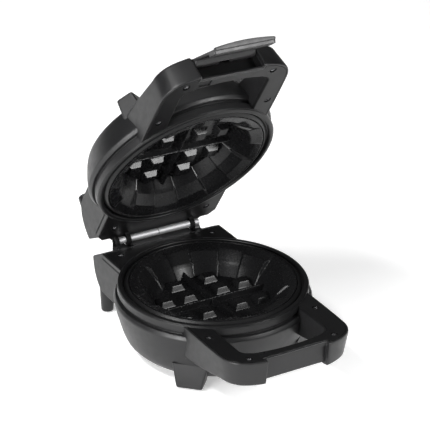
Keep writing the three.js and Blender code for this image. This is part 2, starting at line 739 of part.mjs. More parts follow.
const LOOK = {
  housing: material(0x1d1d1f, 0.62, 0),
  frame: material(0x141416, 0.4, 0),
  plate: material(0x17171a, 0.35, 0.3),
  steel: material(0xc9cacc, 0.25, 1),
  sheet: material(0xa9abad, 0.4, 1),
  element: material(0x55524f, 0.5, 0.9),
  screw: material(0x3a3a3c, 0.4, 0.9),
  rubber: material(0x161616, 0.9, 0),
  latch: material(0x2a2a2c, 0.5, 0),
  insulator: material(0xd9d4c6, 0.6, 0),
};

// Assembly

/** Group whose own origin is a point of the closed drawing, turned about X there. */
function turningGroup(parent, name, y, z, degrees) {
  const group = new THREE.Group();
  group.name = name;
  group.userData.origin = new THREE.Vector3(0, y, z);
  group.position.copy(group.userData.origin).sub(parent.userData.origin);
  group.rotation.x = THREE.MathUtils.degToRad(degrees);
  parent.add(group);
  return group;
}

/** Adds a solid of the closed drawing to a group as a named mesh, mirrored for the lid. */
function add(group, name, body, look, flip = false) {
  const drawn = body.getMesh();
  const index = Array.from(drawn.triVerts);
  const positions = new Float32Array(drawn.numVert * 3);
  const vertex = new THREE.Vector3();
  for (let i = 0; i < drawn.numVert; i += 1) {
    vertex.fromArray(drawn.vertProperties, i * drawn.numProp);
    if (flip) vertex.z = -vertex.z;
    vertex.sub(group.userData.origin).toArray(positions, i * 3);
  }
  if (flip) {
    for (let i = 0; i < index.length; i += 3) [index[i], index[i + 1]] = [index[i + 1], index[i]];
  }
  const geometry = new THREE.BufferGeometry();
  geometry.setAttribute('position', new THREE.BufferAttribute(positions, 3));
  geometry.setIndex(index);
  geometry.computeVertexNormals();
  const mesh = new THREE.Mesh(geometry, look);
  mesh.name = name;
  group.add(mesh);
}

const waffleMaker = new THREE.Group();
waffleMaker.name = 'waffle_maker';
waffleMaker.userData.origin = new THREE.Vector3(0, 0, -BASE_DEPTH);
const baseGroup = turningGroup(waffleMaker, 'base', 0, 0, 0);
const lidGroup = turningGroup(waffleMaker, 'lid', HINGE_Y, 0, -OPEN_ANGLE);
const latchGroup = turningGroup(lidGroup, 'latch_body', PIVOT.y, PIVOT.z, -LATCH_ANGLE);

const HALVES = {
  base: {
    group: baseGroup,
    flip: false,
    depth: BASE_DEPTH,
    barDepth: HANDLE.gripDepth - CATCH.baseRise,
    catchLip: true,
    frontFoot: [14, 19],
    knuckles: [KNUCKLE],
    cradles: [SLEEVE_4],
    step: SLEEVE_2,
    openEnd: true,
    inlet: true,
    pocket: [[-38.5, 16], [-32, 20]],
  },
  lid: {
    group: lidGroup,
    flip: true,
    depth: LID_DEPTH,
    barDepth: HANDLE.gripDepth,
    frontFoot: [9.5, 12.5],
    knuckles: [EAR_1, EAR_2],
    cradles: [],
    latchBay: true,
    pocket: [[-35, 8.5], [-22, 16.9]],
  },
};

for (const [half, options] of Object.entries(HALVES)) {
  const { group, flip, depth } = options;
  add(group, `${half}_housing`, housing(options), LOOK.housing, flip);
  add(group, `${half}_frame`, coverFrame(options), LOOK.frame, flip);
  add(group, `${half}_plate`, cookingPlate(), LOOK.plate, flip);
  add(group, `${half}_element`, heatingElement(), LOOK.element, flip);
  add(group, `${half}_reflector`, reflector(), LOOK.sheet, flip);
  add(group, `${half}_thermostat`, thermostat(), LOOK.insulator, flip);
  add(group, `${half}_fuse`, thermalFuse(), LOOK.sheet, flip);
  screwPositions().forEach(([x, y], i) => {
    add(group, `${half}_screw_${i + 1}`, screw(x, y), LOOK.screw, flip);
  });
  padPositions().forEach(([x, y], i) => {
    add(group, `${half}_pad_${i + 1}`, footPad(x, y, depth), LOOK.rubber, flip);
  });
}

const { rod, wire } = hingeCore();
add(baseGroup, 'hinge_rod', rod, LOOK.steel);
[SLEEVE_1, SLEEVE_2, SLEEVE_3, SLEEVE_4].forEach((span, i) => {
  add(baseGroup, `hinge_sleeve_${i + 1}`, hingeSleeve(span), LOOK.steel);
});
add(baseGroup, 'link_wire', wire, LOOK.rubber);
add(baseGroup, 'cord_gland', cordGland(), LOOK.rubber);

add(latchGroup, 'latch', latchLever(), LOOK.latch);
add(lidGroup, 'latch_pin', latchPin(), LOOK.steel);
add(lidGroup, 'latch_bush', latchBush(), LOOK.steel);

// The origin is the middle of the underside of the whole object in the rest pose.
const extent = new THREE.Box3().setFromObject(waffleMaker, true);
const middle = extent.getCenter(new THREE.Vector3());
waffleMaker.position.set(-middle.x, -middle.y, -extent.min.z);

export default waffleMaker;
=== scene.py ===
"""Looks of a round hand-flipped waffle maker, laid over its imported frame.

Shapes are drawn in millimetres in the closed drawing of one half: x along the hinge, y from
the handles to the hinge, and z up from the plane in which the two halves meet. A place then
turns a drawing into the row frame, in metres.
"""
import logging
import math
from collections.abc import Callable, Sequence
from dataclasses import dataclass, field
from enum import Enum

import bmesh
import bpy
import numpy as np
from mathutils import Matrix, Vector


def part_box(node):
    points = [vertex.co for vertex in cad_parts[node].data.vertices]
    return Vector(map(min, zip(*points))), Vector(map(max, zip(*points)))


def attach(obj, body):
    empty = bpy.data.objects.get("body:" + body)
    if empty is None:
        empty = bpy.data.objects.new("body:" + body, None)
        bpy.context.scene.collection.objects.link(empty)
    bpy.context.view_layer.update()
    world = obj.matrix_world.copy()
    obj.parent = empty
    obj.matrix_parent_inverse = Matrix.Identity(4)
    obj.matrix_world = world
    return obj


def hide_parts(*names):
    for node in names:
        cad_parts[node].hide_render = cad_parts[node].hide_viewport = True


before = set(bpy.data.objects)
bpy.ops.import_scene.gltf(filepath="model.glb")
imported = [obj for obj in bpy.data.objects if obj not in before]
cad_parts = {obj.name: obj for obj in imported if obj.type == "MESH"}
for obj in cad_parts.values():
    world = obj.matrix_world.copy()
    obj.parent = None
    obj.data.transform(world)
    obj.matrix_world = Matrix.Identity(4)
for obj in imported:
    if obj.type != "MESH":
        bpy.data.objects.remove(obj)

Array = np.ndarray
Height = float | Array | Callable[[Array], Array]

LOG = logging.getLogger("waffle_maker")
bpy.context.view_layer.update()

HINGE_Y = 123.0  # y of the hinge axis in the drawing
OPEN_ANGLE = 56.0  # turn of the lid from closed to rest, in degrees
LATCH_ANGLE = 64.0  # turn of the latch from closed to rest, in degrees
LATCH_PIVOT = (-161.2, 25.5)  # y and z of the latch's pin
GRIP_FRONT = 167.5  # distance of the grips' front from the middle
DECK = 4.5  # depth of the decks below the middle plane
DECK_PLATE = 2.8  # thickness of a deck
BORDER = 2.2  # width of the rim round a deck
DECK_EDGE = BORDER + 0.32  # distance of a deck from the outer side of its rim
REAR_FOOT = (65.0, 117.5)  # x and y of the right rear foot
MERGE, MERGE_CUT = 2e-6, 4e-6  # distances in metres within which points become one
SPECK, SPECK_CUT = 1e-7, 1e-6  # lengths in metres below which edges are dissolved
MIX_FIRST, MIX_SECOND, MIX_RESULT = 6, 7, 2  # colour sockets of a mix node
WHITE = (1.0, 1.0, 1.0, 1.0)
SHARP_ANGLE = 38.0  # faces that meet at more than this many degrees stay sharp
TINY = 1e-9  # least length that is divided by


class Body(Enum):
    """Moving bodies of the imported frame."""

    BASE = "base"
    LID = "lid"
    LATCH = "latch"


class Facing(Enum):
    """Order in which a drawing's two plane coordinates and its height become x, y and z."""

    PLAN = (0, 1, 2)
    SIDE = (2, 0, 1)


def turned_about(points: Array, pivot: tuple[float, float], degrees: float) -> Array:
    """Turns points about an X axis: y and z are rotated round the pivot by the angle.

    Args:
        points: Points as rows of x, y, z.
        pivot: The axis's y and z.
        degrees: Turn, positive from +Y to +Z.

    Returns:
        The turned points.
    """
    angle = math.radians(degrees)
    dy, dz = points[..., 1] - pivot[0], points[..., 2] - pivot[1]
    y = pivot[0] + dy * math.cos(angle) - dz * math.sin(angle)
    z = pivot[1] + dy * math.sin(angle) + dz * math.cos(angle)
    return np.stack([points[..., 0], y, z], axis=-1)


def to_row(points: Array, body: Body) -> Array:
    """Puts a drawing in millimetres into the row frame at rest, in metres.

    The base is lifted, the lid is mirrored in the middle plane and turned about the hinge,
    and the latch is turned about its pin before it is turned with the lid.

    Args:
        points: Points of the closed drawing.
        body: Body that the drawing belongs to.

    Returns:
        Points in the row frame.
    """
    low, high = (np.array(corner) * 1000 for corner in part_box("hinge_rod"))
    axis = (low + high) / 2
    placed = np.array(points, dtype=float)
    if body is Body.LID:
        placed[..., 2] = -placed[..., 2]
    if body is Body.LATCH:
        placed = turned_about(placed, LATCH_PIVOT, -LATCH_ANGLE)
    if body is not Body.BASE:
        placed = turned_about(placed, (HINGE_Y, 0.0), -OPEN_ANGLE)
    placed = placed + np.array([0.0, axis[1] - HINGE_Y, axis[2]])
    return placed / 1000


def rounded(corners: Array, radii: Array | float, steps: int = 5, closed: bool = True) -> Array:
    """Rounds every corner of an outline with a curve between points on its two edges.

    Each corner becomes a quadratic curve that starts and ends at the radius's distance from
    the corner, at most half an edge away, and is pulled towards the corner.

    Args:
        corners: Outline corners as rows of two coordinates.
        radii: Distance from each corner at which its curve starts.
        steps: Points of each curve.
        closed: Whether the last corner joins the first.

    Returns:
        Outline points, the same number for each corner.
    """
    before, after = np.roll(corners, 1, axis=0), np.roll(corners, -1, axis=0)
    if not closed:
        before[0], after[-1] = corners[0], corners[-1]
    back, ahead = before - corners, after - corners
    back_length = np.linalg.norm(back, axis=1, keepdims=True)
    ahead_length = np.linalg.norm(ahead, axis=1, keepdims=True)
    reach = np.broadcast_to(np.asarray(radii, dtype=float), (len(corners),))[:, None]
    start = corners + back / np.maximum(back_length, TINY) * np.minimum(reach, back_length / 2)
    end = corners + ahead / np.maximum(ahead_length, TINY) * np.minimum(reach, ahead_length / 2)
    t = np.linspace(0.0, 1.0, steps)[None, :, None]
    curve = (1 - t) ** 2 * start[:, None] + 2 * t * (1 - t) * corners[:, None] + t**2 * end[:, None]
    return curve.reshape(-1, 2)


def inset_outline(corners: Array, inset: Array | float) -> Array:
    """Moves a closed outline inwards: each corner goes along the mitre of its two edges.

    Args:
        corners: Outline corners, counter-clockwise.
        inset: Distance inwards, one value or one for each corner.

    Returns:
        The moved corners.
    """
    ahead = np.roll(corners, -1, axis=0) - corners
    ahead /= np.maximum(np.linalg.norm(ahead, axis=1, keepdims=True), TINY)
    normal = np.stack([-ahead[:, 1], ahead[:, 0]], axis=1)
    before = np.roll(normal, 1, axis=0)
    mitre = (normal + before) / (1 + (normal * before).sum(axis=1, keepdims=True))
    return corners + mitre * np.broadcast_to(np.asarray(inset, dtype=float), (len(corners),))[:, None]


def around(count: int) -> Array:
    """Angles of the given number of even steps round a circle, as a column."""
    return np.linspace(0, 2 * np.pi, count, endpoint=False)[:, None]


@dataclass
class Skin:
    """Closed shells of one piece, gathered as drawing points and four-sided faces."""

    points: list[Array] = field(default_factory=list)
    faces: list[Array] = field(default_factory=list)
    count: int = 0

    def sheet(self, grid: Array, wrap_rows: bool = False, wrap_columns: bool = False) -> "Skin":
        """Adds a grid of points, with a face between each four neighbours.

        Args:
            grid: Points as rows by columns by three.
            wrap_rows: Whether the last row joins the first.
            wrap_columns: Whether the last column joins the first.

        Returns:
            This skin, as every method that adds to it does.
        """
        rows, columns = grid.shape[:2]
        index = np.arange(rows * columns).reshape(rows, columns) + self.count
        if wrap_rows:
            index = np.vstack([index, index[:1]])
        if wrap_columns:
            index = np.hstack([index, index[:, :1]])
        corners = [index[:-1, :-1], index[1:, :-1], index[1:, 1:], index[:-1, 1:]]
        self.points.append(grid.reshape(-1, 3))
        self.faces.append(np.stack(corners, axis=-1).reshape(-1, 4))
        self.count += rows * columns
        return self

    def turn(self, profile: Array, count: int) -> "Skin":
        """Adds a body turned about the Z axis: each profile point goes round in a circle.

        Args:
            profile: Radius and z pairs. It is closed unless both ends lie on the axis.
            count: Number of steps round.

        Returns:
            This skin.
        """
        angle = around(count)
        radius, z = profile[None, :, 0], profile[None, :, 1]
        grid = np.stack([radius * np.cos(angle), radius * np.sin(angle), z + 0 * angle], axis=-1)
        on_axis = abs(profile[0, 0]) + abs(profile[-1, 0]) < TINY
        return self.sheet(grid, wrap_rows=True, wrap_columns=not on_axis)

    def tower(
        self,
        rings: Sequence[Array],
        heights: Sequence[Height],
        radii: Array | float = 0.6,
        steps: int = 4,
        facing: Facing = Facing.PLAN,
        strip: bool = False,
    ) -> "Skin":
        """Adds a body of stacked outlines: each ring is rounded and set at its height.

        The ends are closed towards their middles, or, for a strip, straight across it from
        its outer side to its inner side.

        Args:
            rings: Outline corners of each level, the same number at every level.
            heights: Height of each level, one value, one for each point or a function.
            radii: Corner radii in plan.
            steps: Points on each corner.
            facing: Plane of the outlines.
            strip: Whether the first half of each ring is the outer side of a bent strip.

        Returns:
            This skin.
        """
        levels = []
        for ring, height in zip(rings, heights, strict=True):
            flat = rounded(np.asarray(ring, dtype=float), radii, steps)
            level = height(flat) if callable(height) else np.broadcast_to(height, (len(flat),))
            levels.append(np.column_stack([flat, level]))
        grid = np.array(levels)[..., list(facing.value)]
        self.sheet(grid, wrap_columns=True)
        for level in (grid[0], grid[-1]):
            if strip:
                half = len(level) // 2
                self.sheet(np.stack([level[:half], level[half:][::-1]]))
            else:
                middle = np.broadcast_to(level.mean(axis=0), level.shape)
                self.sheet(np.stack([level, middle]), wrap_columns=True)
        return self

    def tube(self, start: float, end: float, radius: float, bore: float, ease: float) -> "Skin":
        """Adds a tube about the hinge axis, with eased ends.

        Args:
            start: Lower x.
            end: Upper x.
            radius: Outer radius.
            bore: Inner radius.
            ease: Chamfer of its outer edges.

        Returns:
            This skin.
        """
        outer = [[start, radius - ease], [start + ease, radius], [end - ease, radius], [end, radius - ease]]
        profile = np.array([*outer, [end, bore], [start, bore]])
        angle = around(48)
        x, r = profile[None, :, 0], profile[None, :, 1]
        grid = np.stack([x + 0 * angle, HINGE_Y + r * np.cos(angle), r * np.sin(angle)], axis=-1)
        return self.sheet(grid, wrap_rows=True, wrap_columns=True)

    def moved(self, x: float, y: float, z: float) -> "Skin":
        """Returns a copy shifted by x, y and z."""
        shift = np.array([x, y, z])
        return Skin([points + shift for points in self.points], list(self.faces), self.count)

    def add(self, *others: "Skin") -> "Skin":
        """Adds the shells of other skins to this one."""
        for other in others:
            self.points += other.points
            self.faces += [faces + self.count for faces in other.faces]
            self.count += other.count
        return self

    def mesh(self, name: str, body: Body) -> bpy.types.Mesh:
        """Makes a mesh in the row frame, with closed seams and faces that point outwards.

        Args:
            name: Name of the mesh.
            body: Body whose place the drawing takes.

        Returns:
            The mesh.
        """
        mesh = bpy.data.meshes.new(name)
        points = to_row(np.concatenate(self.points), body)
        faces = np.concatenate(self.faces)
        mesh.from_pydata(points.tolist(), [], faces.tolist())
        clean(mesh, MERGE, SPECK)
        return mesh


def clean(mesh: bpy.types.Mesh, merge: float, speck: float, fill: bool = False) -> None:
    """Joins points that lie together, drops tiny edges and turns the faces outwards.

    Args:
        mesh: Mesh that is cleaned.
        merge: Distance in metres within which points become one.
        speck: Length in metres below which an edge is dissolved.
        fill: Whether open rims are filled.
    """
    work = bmesh.new()
    work.from_mesh(mesh)
    bmesh.ops.remove_doubles(work, verts=work.verts, dist=merge)
    bmesh.ops.dissolve_degenerate(work, edges=work.edges, dist=speck)
    if fill:
        bmesh.ops.holes_fill(work, edges=[edge for edge in work.edges if edge.is_boundary], sides=0)
    bmesh.ops.recalc_face_normals(work, faces=work.faces)
    work.to_mesh(mesh)
    work.free()


def linked(name: str, data: bpy.types.ID) -> bpy.types.Object:
    """Puts an object of the given data into the scene.

    Args:
        name: Name of the object.
        data: Its mesh, lamp or camera data.

    Returns:
        The object.
    """
    thing = bpy.data.objects.new(name, data)
    bpy.context.scene.collection.objects.link(thing)
    return thing


def edge_wear(mesh: bpy.types.Mesh) -> None:
    """Stores how bent the surface is at each vertex, from 0 on flats to 1 at worn edges.

    The value is one minus the length of the mean of the unit normals of the faces that meet
    there, stretched so that a right angle gives about one.

    Args:
        mesh: Mesh that gets the attribute named edge.
    """
    loops = len(mesh.loops)
    vertex = np.empty(loops, dtype=np.int32)
    mesh.loops.foreach_get("vertex_index", vertex)
    totals = np.empty(len(mesh.polygons), dtype=np.int32)
    mesh.polygons.foreach_get("loop_total", totals)
    normals = np.empty(len(mesh.polygons) * 3, dtype=np.float32)
    mesh.polygons.foreach_get("normal", normals)
    spread = np.repeat(normals.reshape(-1, 3), totals, axis=0)
    total = np.zeros((len(mesh.vertices), 3))
    np.add.at(total, vertex, spread)
    count = np.maximum(np.bincount(vertex, minlength=len(mesh.vertices)), 1)
    bend = 1 - np.linalg.norm(total, axis=1) / count
    attribute = mesh.attributes.new("edge", "FLOAT", "POINT")
    attribute.data.foreach_set("value", np.clip(bend * 6, 0, 1).astype(np.float32))


def filled(node: bpy.types.Node, inputs: dict[str | int, object]) -> bpy.types.Node:
    """Sets inputs of a material's node.

    Args:
        node: The node.
        inputs: Values by the names or numbers of the inputs. The output of another node is
            linked, and any other value is set.

    Returns:
        The node.
    """
    for name, value in inputs.items():
        if isinstance(value, bpy.types.NodeSocket):
            node.id_data.links.new(value, node.inputs[name])
        else:
            node.inputs[name].default_value = value
    return node


def added(
    tree: bpy.types.NodeTree, kind: str, inputs: dict[str | int, object] | None = None, **settings: str
) -> bpy.types.Node:
    """Adds a node to a material.

    Args:
        tree: The material's nodes.
        kind: Kind of the node.
        inputs: Its inputs, as for filled.
        settings: Its settings by their names.

    Returns:
        The node.
    """
    node = tree.nodes.new("ShaderNode" + kind)
    for name, value in settings.items():
        setattr(node, name, value)
    return filled(node, inputs or {})


@dataclass(frozen=True)
class Finish:
    """Procedural finish: tone that varies, a fine grain in relief, and edges worn smooth."""

    name: str
    slot: str
    color: tuple[float, float, float]
    worn: tuple[float, float, float]
    roughness: float
    rough_spread: float = 0.06
    metallic: float = 0.0
    grain: float = 2200.0
    relief: float = 0.00003
    cloud: float = 45.0
    cloud_depth: float = 0.25
    stretch: tuple[float, float, float] = (1.0, 1.0, 1.0)
    specular: float = 0.5

    def material(self) -> bpy.types.Material:
        """Returns the finish's material, made the first time it is asked for."""
        made = bpy.data.materials.get(self.name)
        return made if made else self.make()

    def make(self) -> bpy.types.Material:
        """Builds the node material.

        Base colour is the tone times a slow noise, mixed towards the worn tone where the
        edge attribute rises. Roughness is a medium noise round its value, and the relief is
        a fine noise, all in object coordinates.

        Returns:
            The material.
        """
        material = bpy.data.materials.new(self.name)
        material.use_nodes = True
        tree = material.node_tree
        place = added(tree, "TexCoord").outputs["Object"]
        vector = added(tree, "Mapping", {"Vector": place, "Scale": self.stretch}).outputs["Vector"]

        def noise(scale: float, detail: float) -> bpy.types.NodeSocket:
            """Returns the factor of a noise of the given scale and detail."""
            inputs = {"Vector": vector, "Scale": scale, "Detail": detail}
            return added(tree, "TexNoise", inputs).outputs["Fac"]

        deep = (*(value * (1 - self.cloud_depth) for value in self.color), 1.0)
        light = (*(value * (1 + self.cloud_depth) for value in self.color), 1.0)
        tones = {0: noise(self.cloud, 5.0), MIX_FIRST: deep, MIX_SECOND: light}
        tone = added(tree, "Mix", tones, data_type="RGBA").outputs[MIX_RESULT]
        edge = added(tree, "Attribute", attribute_name="edge").outputs["Fac"]
        wear = added(tree, "Math", {0: edge, 1: noise(self.cloud * 6, 3.0)}, operation="MULTIPLY")
        tones = {0: wear.outputs["Value"], MIX_FIRST: tone, MIX_SECOND: (*self.worn, 1.0)}
        worn = added(tree, "Mix", tones, data_type="RGBA")
        spread = added(tree, "MapRange", {
            "Value": noise(self.cloud * 3, 4.0), "From Min": 0.3, "From Max": 0.7,
            "To Min": self.roughness - self.rough_spread, "To Max": self.roughness + self.rough_spread,
        })
        bump = added(tree, "Bump", {
            "Height": noise(self.grain, 2.0), "Distance": self.relief, "Strength": 0.6,
        })
        filled(tree.nodes["Principled BSDF"], {
            "Base Color": worn.outputs[MIX_RESULT], "Metallic": self.metallic,
            "Roughness": spread.outputs["Result"], "Specular IOR Level": self.specular,
            "Normal": bump.outputs["Normal"],
        })
        return material


MOULDED = Finish(
    "moulded_plastic", "housing", (0.009, 0.009, 0.0095), (0.016, 0.016, 0.017), 0.4, 0.05,
    relief=0.00002, specular=0.42,
)
SATIN = Finish(
    "satin_trim", "frame", (0.005, 0.005, 0.0053), (0.008, 0.008, 0.0085), 0.36, 0.03,
    relief=0.000003, specular=0.28,
)
COATING = Finish(
    "nonstick_coating", "plate", (0.006, 0.006, 0.0064), (0.01, 0.01, 0.0106), 0.27, 0.015,
    grain=500.0, relief=0.000001, specular=0.24,
)
POLISHED = Finish(
    "polished_tube", "steel", (0.72, 0.72, 0.73), (0.6, 0.6, 0.61), 0.62, 0.04, metallic=1.0,
    grain=900.0, relief=0.000001, cloud_depth=0.05, stretch=(6.0, 1.0, 1.0),
)
# Near-black copy of the steel for the hinge rod: painted shade in the seams between the sleeves.
SHADED_ROD_STEEL = Finish(
    "painted_shade_rod", "steel", (0.05, 0.05, 0.052), (0.08, 0.08, 0.082), 0.5, 0.04, metallic=1.0, relief=0.000001,
)
SHEET = Finish(
    "plain_sheet", "sheet", (0.6, 0.61, 0.62), (0.45, 0.45, 0.46), 0.36, 0.08, metallic=1.0,
    grain=500.0, relief=0.00001, cloud_depth=0.08, stretch=(1.0, 5.0, 1.0),
)
HEATER = Finish("heater_tube", "element", (0.24, 0.22, 0.21), (0.3, 0.27, 0.25), 0.45, 0.1, metallic=0.9)
BLACKED = Finish(
    "blacked_screw", "screw", (0.05, 0.05, 0.052), (0.25, 0.25, 0.26), 0.3, 0.06, metallic=0.85,
    relief=0.00001,
)
RUBBER = Finish("black_rubber", "rubber", (0.012, 0.012, 0.012), (0.03, 0.03, 0.03), 0.75, 0.08, grain=900.0)
# A darker, duller copy of the moulded plastic: painted shade for the lid's latch bay and the hinge knuckles.
SHADED_PLASTIC = Finish(
    "painted_shade_plastic", "housing", (0.004, 0.004, 0.0042), (0.006, 0.006, 0.0062), 0.7, 0.08, grain=1400.0,
    relief=0.00005, specular=0.15,
)
LEVER = Finish(
    "latch_plastic", "latch", (0.022, 0.022, 0.0225), (0.035, 0.035, 0.036), 0.4, 0.05, relief=0.00001,
)
CERAMIC = Finish(
    "control_plastic", "insulator", (0.62, 0.57, 0.48), (0.7, 0.66, 0.58), 0.5, 0.08, grain=700.0,
    cloud_depth=0.08,
)


def smooth_piece(piece: bpy.types.Object) -> None:
    """Shades a piece smooth but for its sharp edges, and weights its normals by area."""
    piece.data.shade_smooth()
    piece.data.set_sharp_from_angle(angle=math.radians(SHARP_ANGLE))
    weighted = piece.modifiers.new("weighted_normals", "WEIGHTED_NORMAL")
    weighted.keep_sharp = True


def dress(
    skin: Skin,
    name: str,
    body: Body,
    finish: Finish,
    nodes: Sequence[str] = (),
    cutters: Sequence[Skin] = (),
    lining: Finish | None = None,
) -> None:
    """Makes a finished piece of a skin, riding on its body in place of the named nodes.

    Args:
        skin: The piece's shells.
        name: Name of the piece.
        body: Body that it rides on.
        finish: Its finish.
        nodes: Nodes of the frame that it stands for.
        cutters: Shells that are cut out of it, one after the other.
        lining: Finish of the cut faces, where it differs.
    """
    piece = linked(name, skin.mesh(name, body))
    for worn in (finish, lining):
        if worn:
            piece.data.materials.append(worn.material())
    for cutter in cutters:
        cut_out(piece, cutter, body)
    edge_wear(piece.data)
    smooth_piece(piece)
    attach(piece, body.value)
    if nodes:
        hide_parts(*nodes)
    LOG.info("piece %s on %s: %d faces", name, body.value, len(piece.data.polygons))


def cut_out(piece: bpy.types.Object, cutter: Skin, body: Body) -> None:
    """Cuts closed shells out of a piece and keeps the result as its mesh.

    Args:
        piece: Piece that is cut.
        cutter: Closed shells in the same drawing, clear of each other.
        body: Body that both belong to.
    """
    tool = linked(piece.name + "_cut", cutter.mesh(piece.name + "_cut", body))
    for holder in piece.data.materials:
        tool.data.materials.append(holder)
    index = np.full(len(tool.data.polygons), len(piece.data.materials) - 1, dtype=np.int32)
    tool.data.polygons.foreach_set("material_index", index)
    cut = piece.modifiers.new("cut", "BOOLEAN")
    cut.object = tool
    cut.operation = "DIFFERENCE"
    cut.solver = "EXACT"
    graph = bpy.context.evaluated_depsgraph_get()
    mesh = bpy.data.meshes.new_from_object(piece.evaluated_get(graph))
    clean(mesh, MERGE_CUT, SPECK_CUT, fill=True)
    spent = (piece.data, tool.data)
    piece.modifiers.clear()
    piece.data = mesh
    mesh.name = piece.name
    bpy.data.objects.remove(tool)
    for old in spent:
        bpy.data.meshes.remove(old)


def both_sides(right: Sequence[Sequence[float]]) -> Array:
    """Outline corners from the left end to the right end, from those of the right side.

    Args:
        right: Corners of the right side, from its root to the middle.

    Returns:
        Corners of the mirrored left side from its root, then of the right side to its root.
    """
    side = np.array(right, dtype=float)
    return np.concatenate([side * [-1, 1], side[::-1]])


def eased_span(half: float, ends: Array, free: float) -> tuple[Array, Array]:
    """Places across x for a body with eased ends.

    Args:
        half: Largest x.
        ends: Distance from the end and inset there, for each step of the easing.
        free: Distance from the end at which the even places start.

    Returns:
        The places from -half to half, and the inset at each.
    """
    body = np.linspace(free - half, half - free, 23)
    places = np.concatenate([ends[:, 0] - half, body, half - ends[::-1, 0]])
    return places, np.concatenate([ends[:, 1], 0 * body, ends[::-1, 1]])


def box_ring(x0: float, y0: float, x1: float, y1: float) -> Array:
    """Four corners of a rectangle, counter-clockwise."""
    return np.array([[x0, y0], [x1, y0], [x1, y1], [x0, y1]], dtype=float)


def block_skin(low: Sequence[float], high: Sequence[float], ease: float = 0.0) -> Skin:
    """Box between two corners with eased upright edges, for cutting.

    Args:
        low: Lowest corner.
        high: Highest corner.
        ease: Radius of its upright edges.

    Returns:
        The box's skin.
    """
    ring = box_ring(low[0], low[1], high[0], high[1])
    return Skin().tower([ring, ring], [low[2], high[2]], radii=max(ease, 0.01), steps=4 if ease else 2)


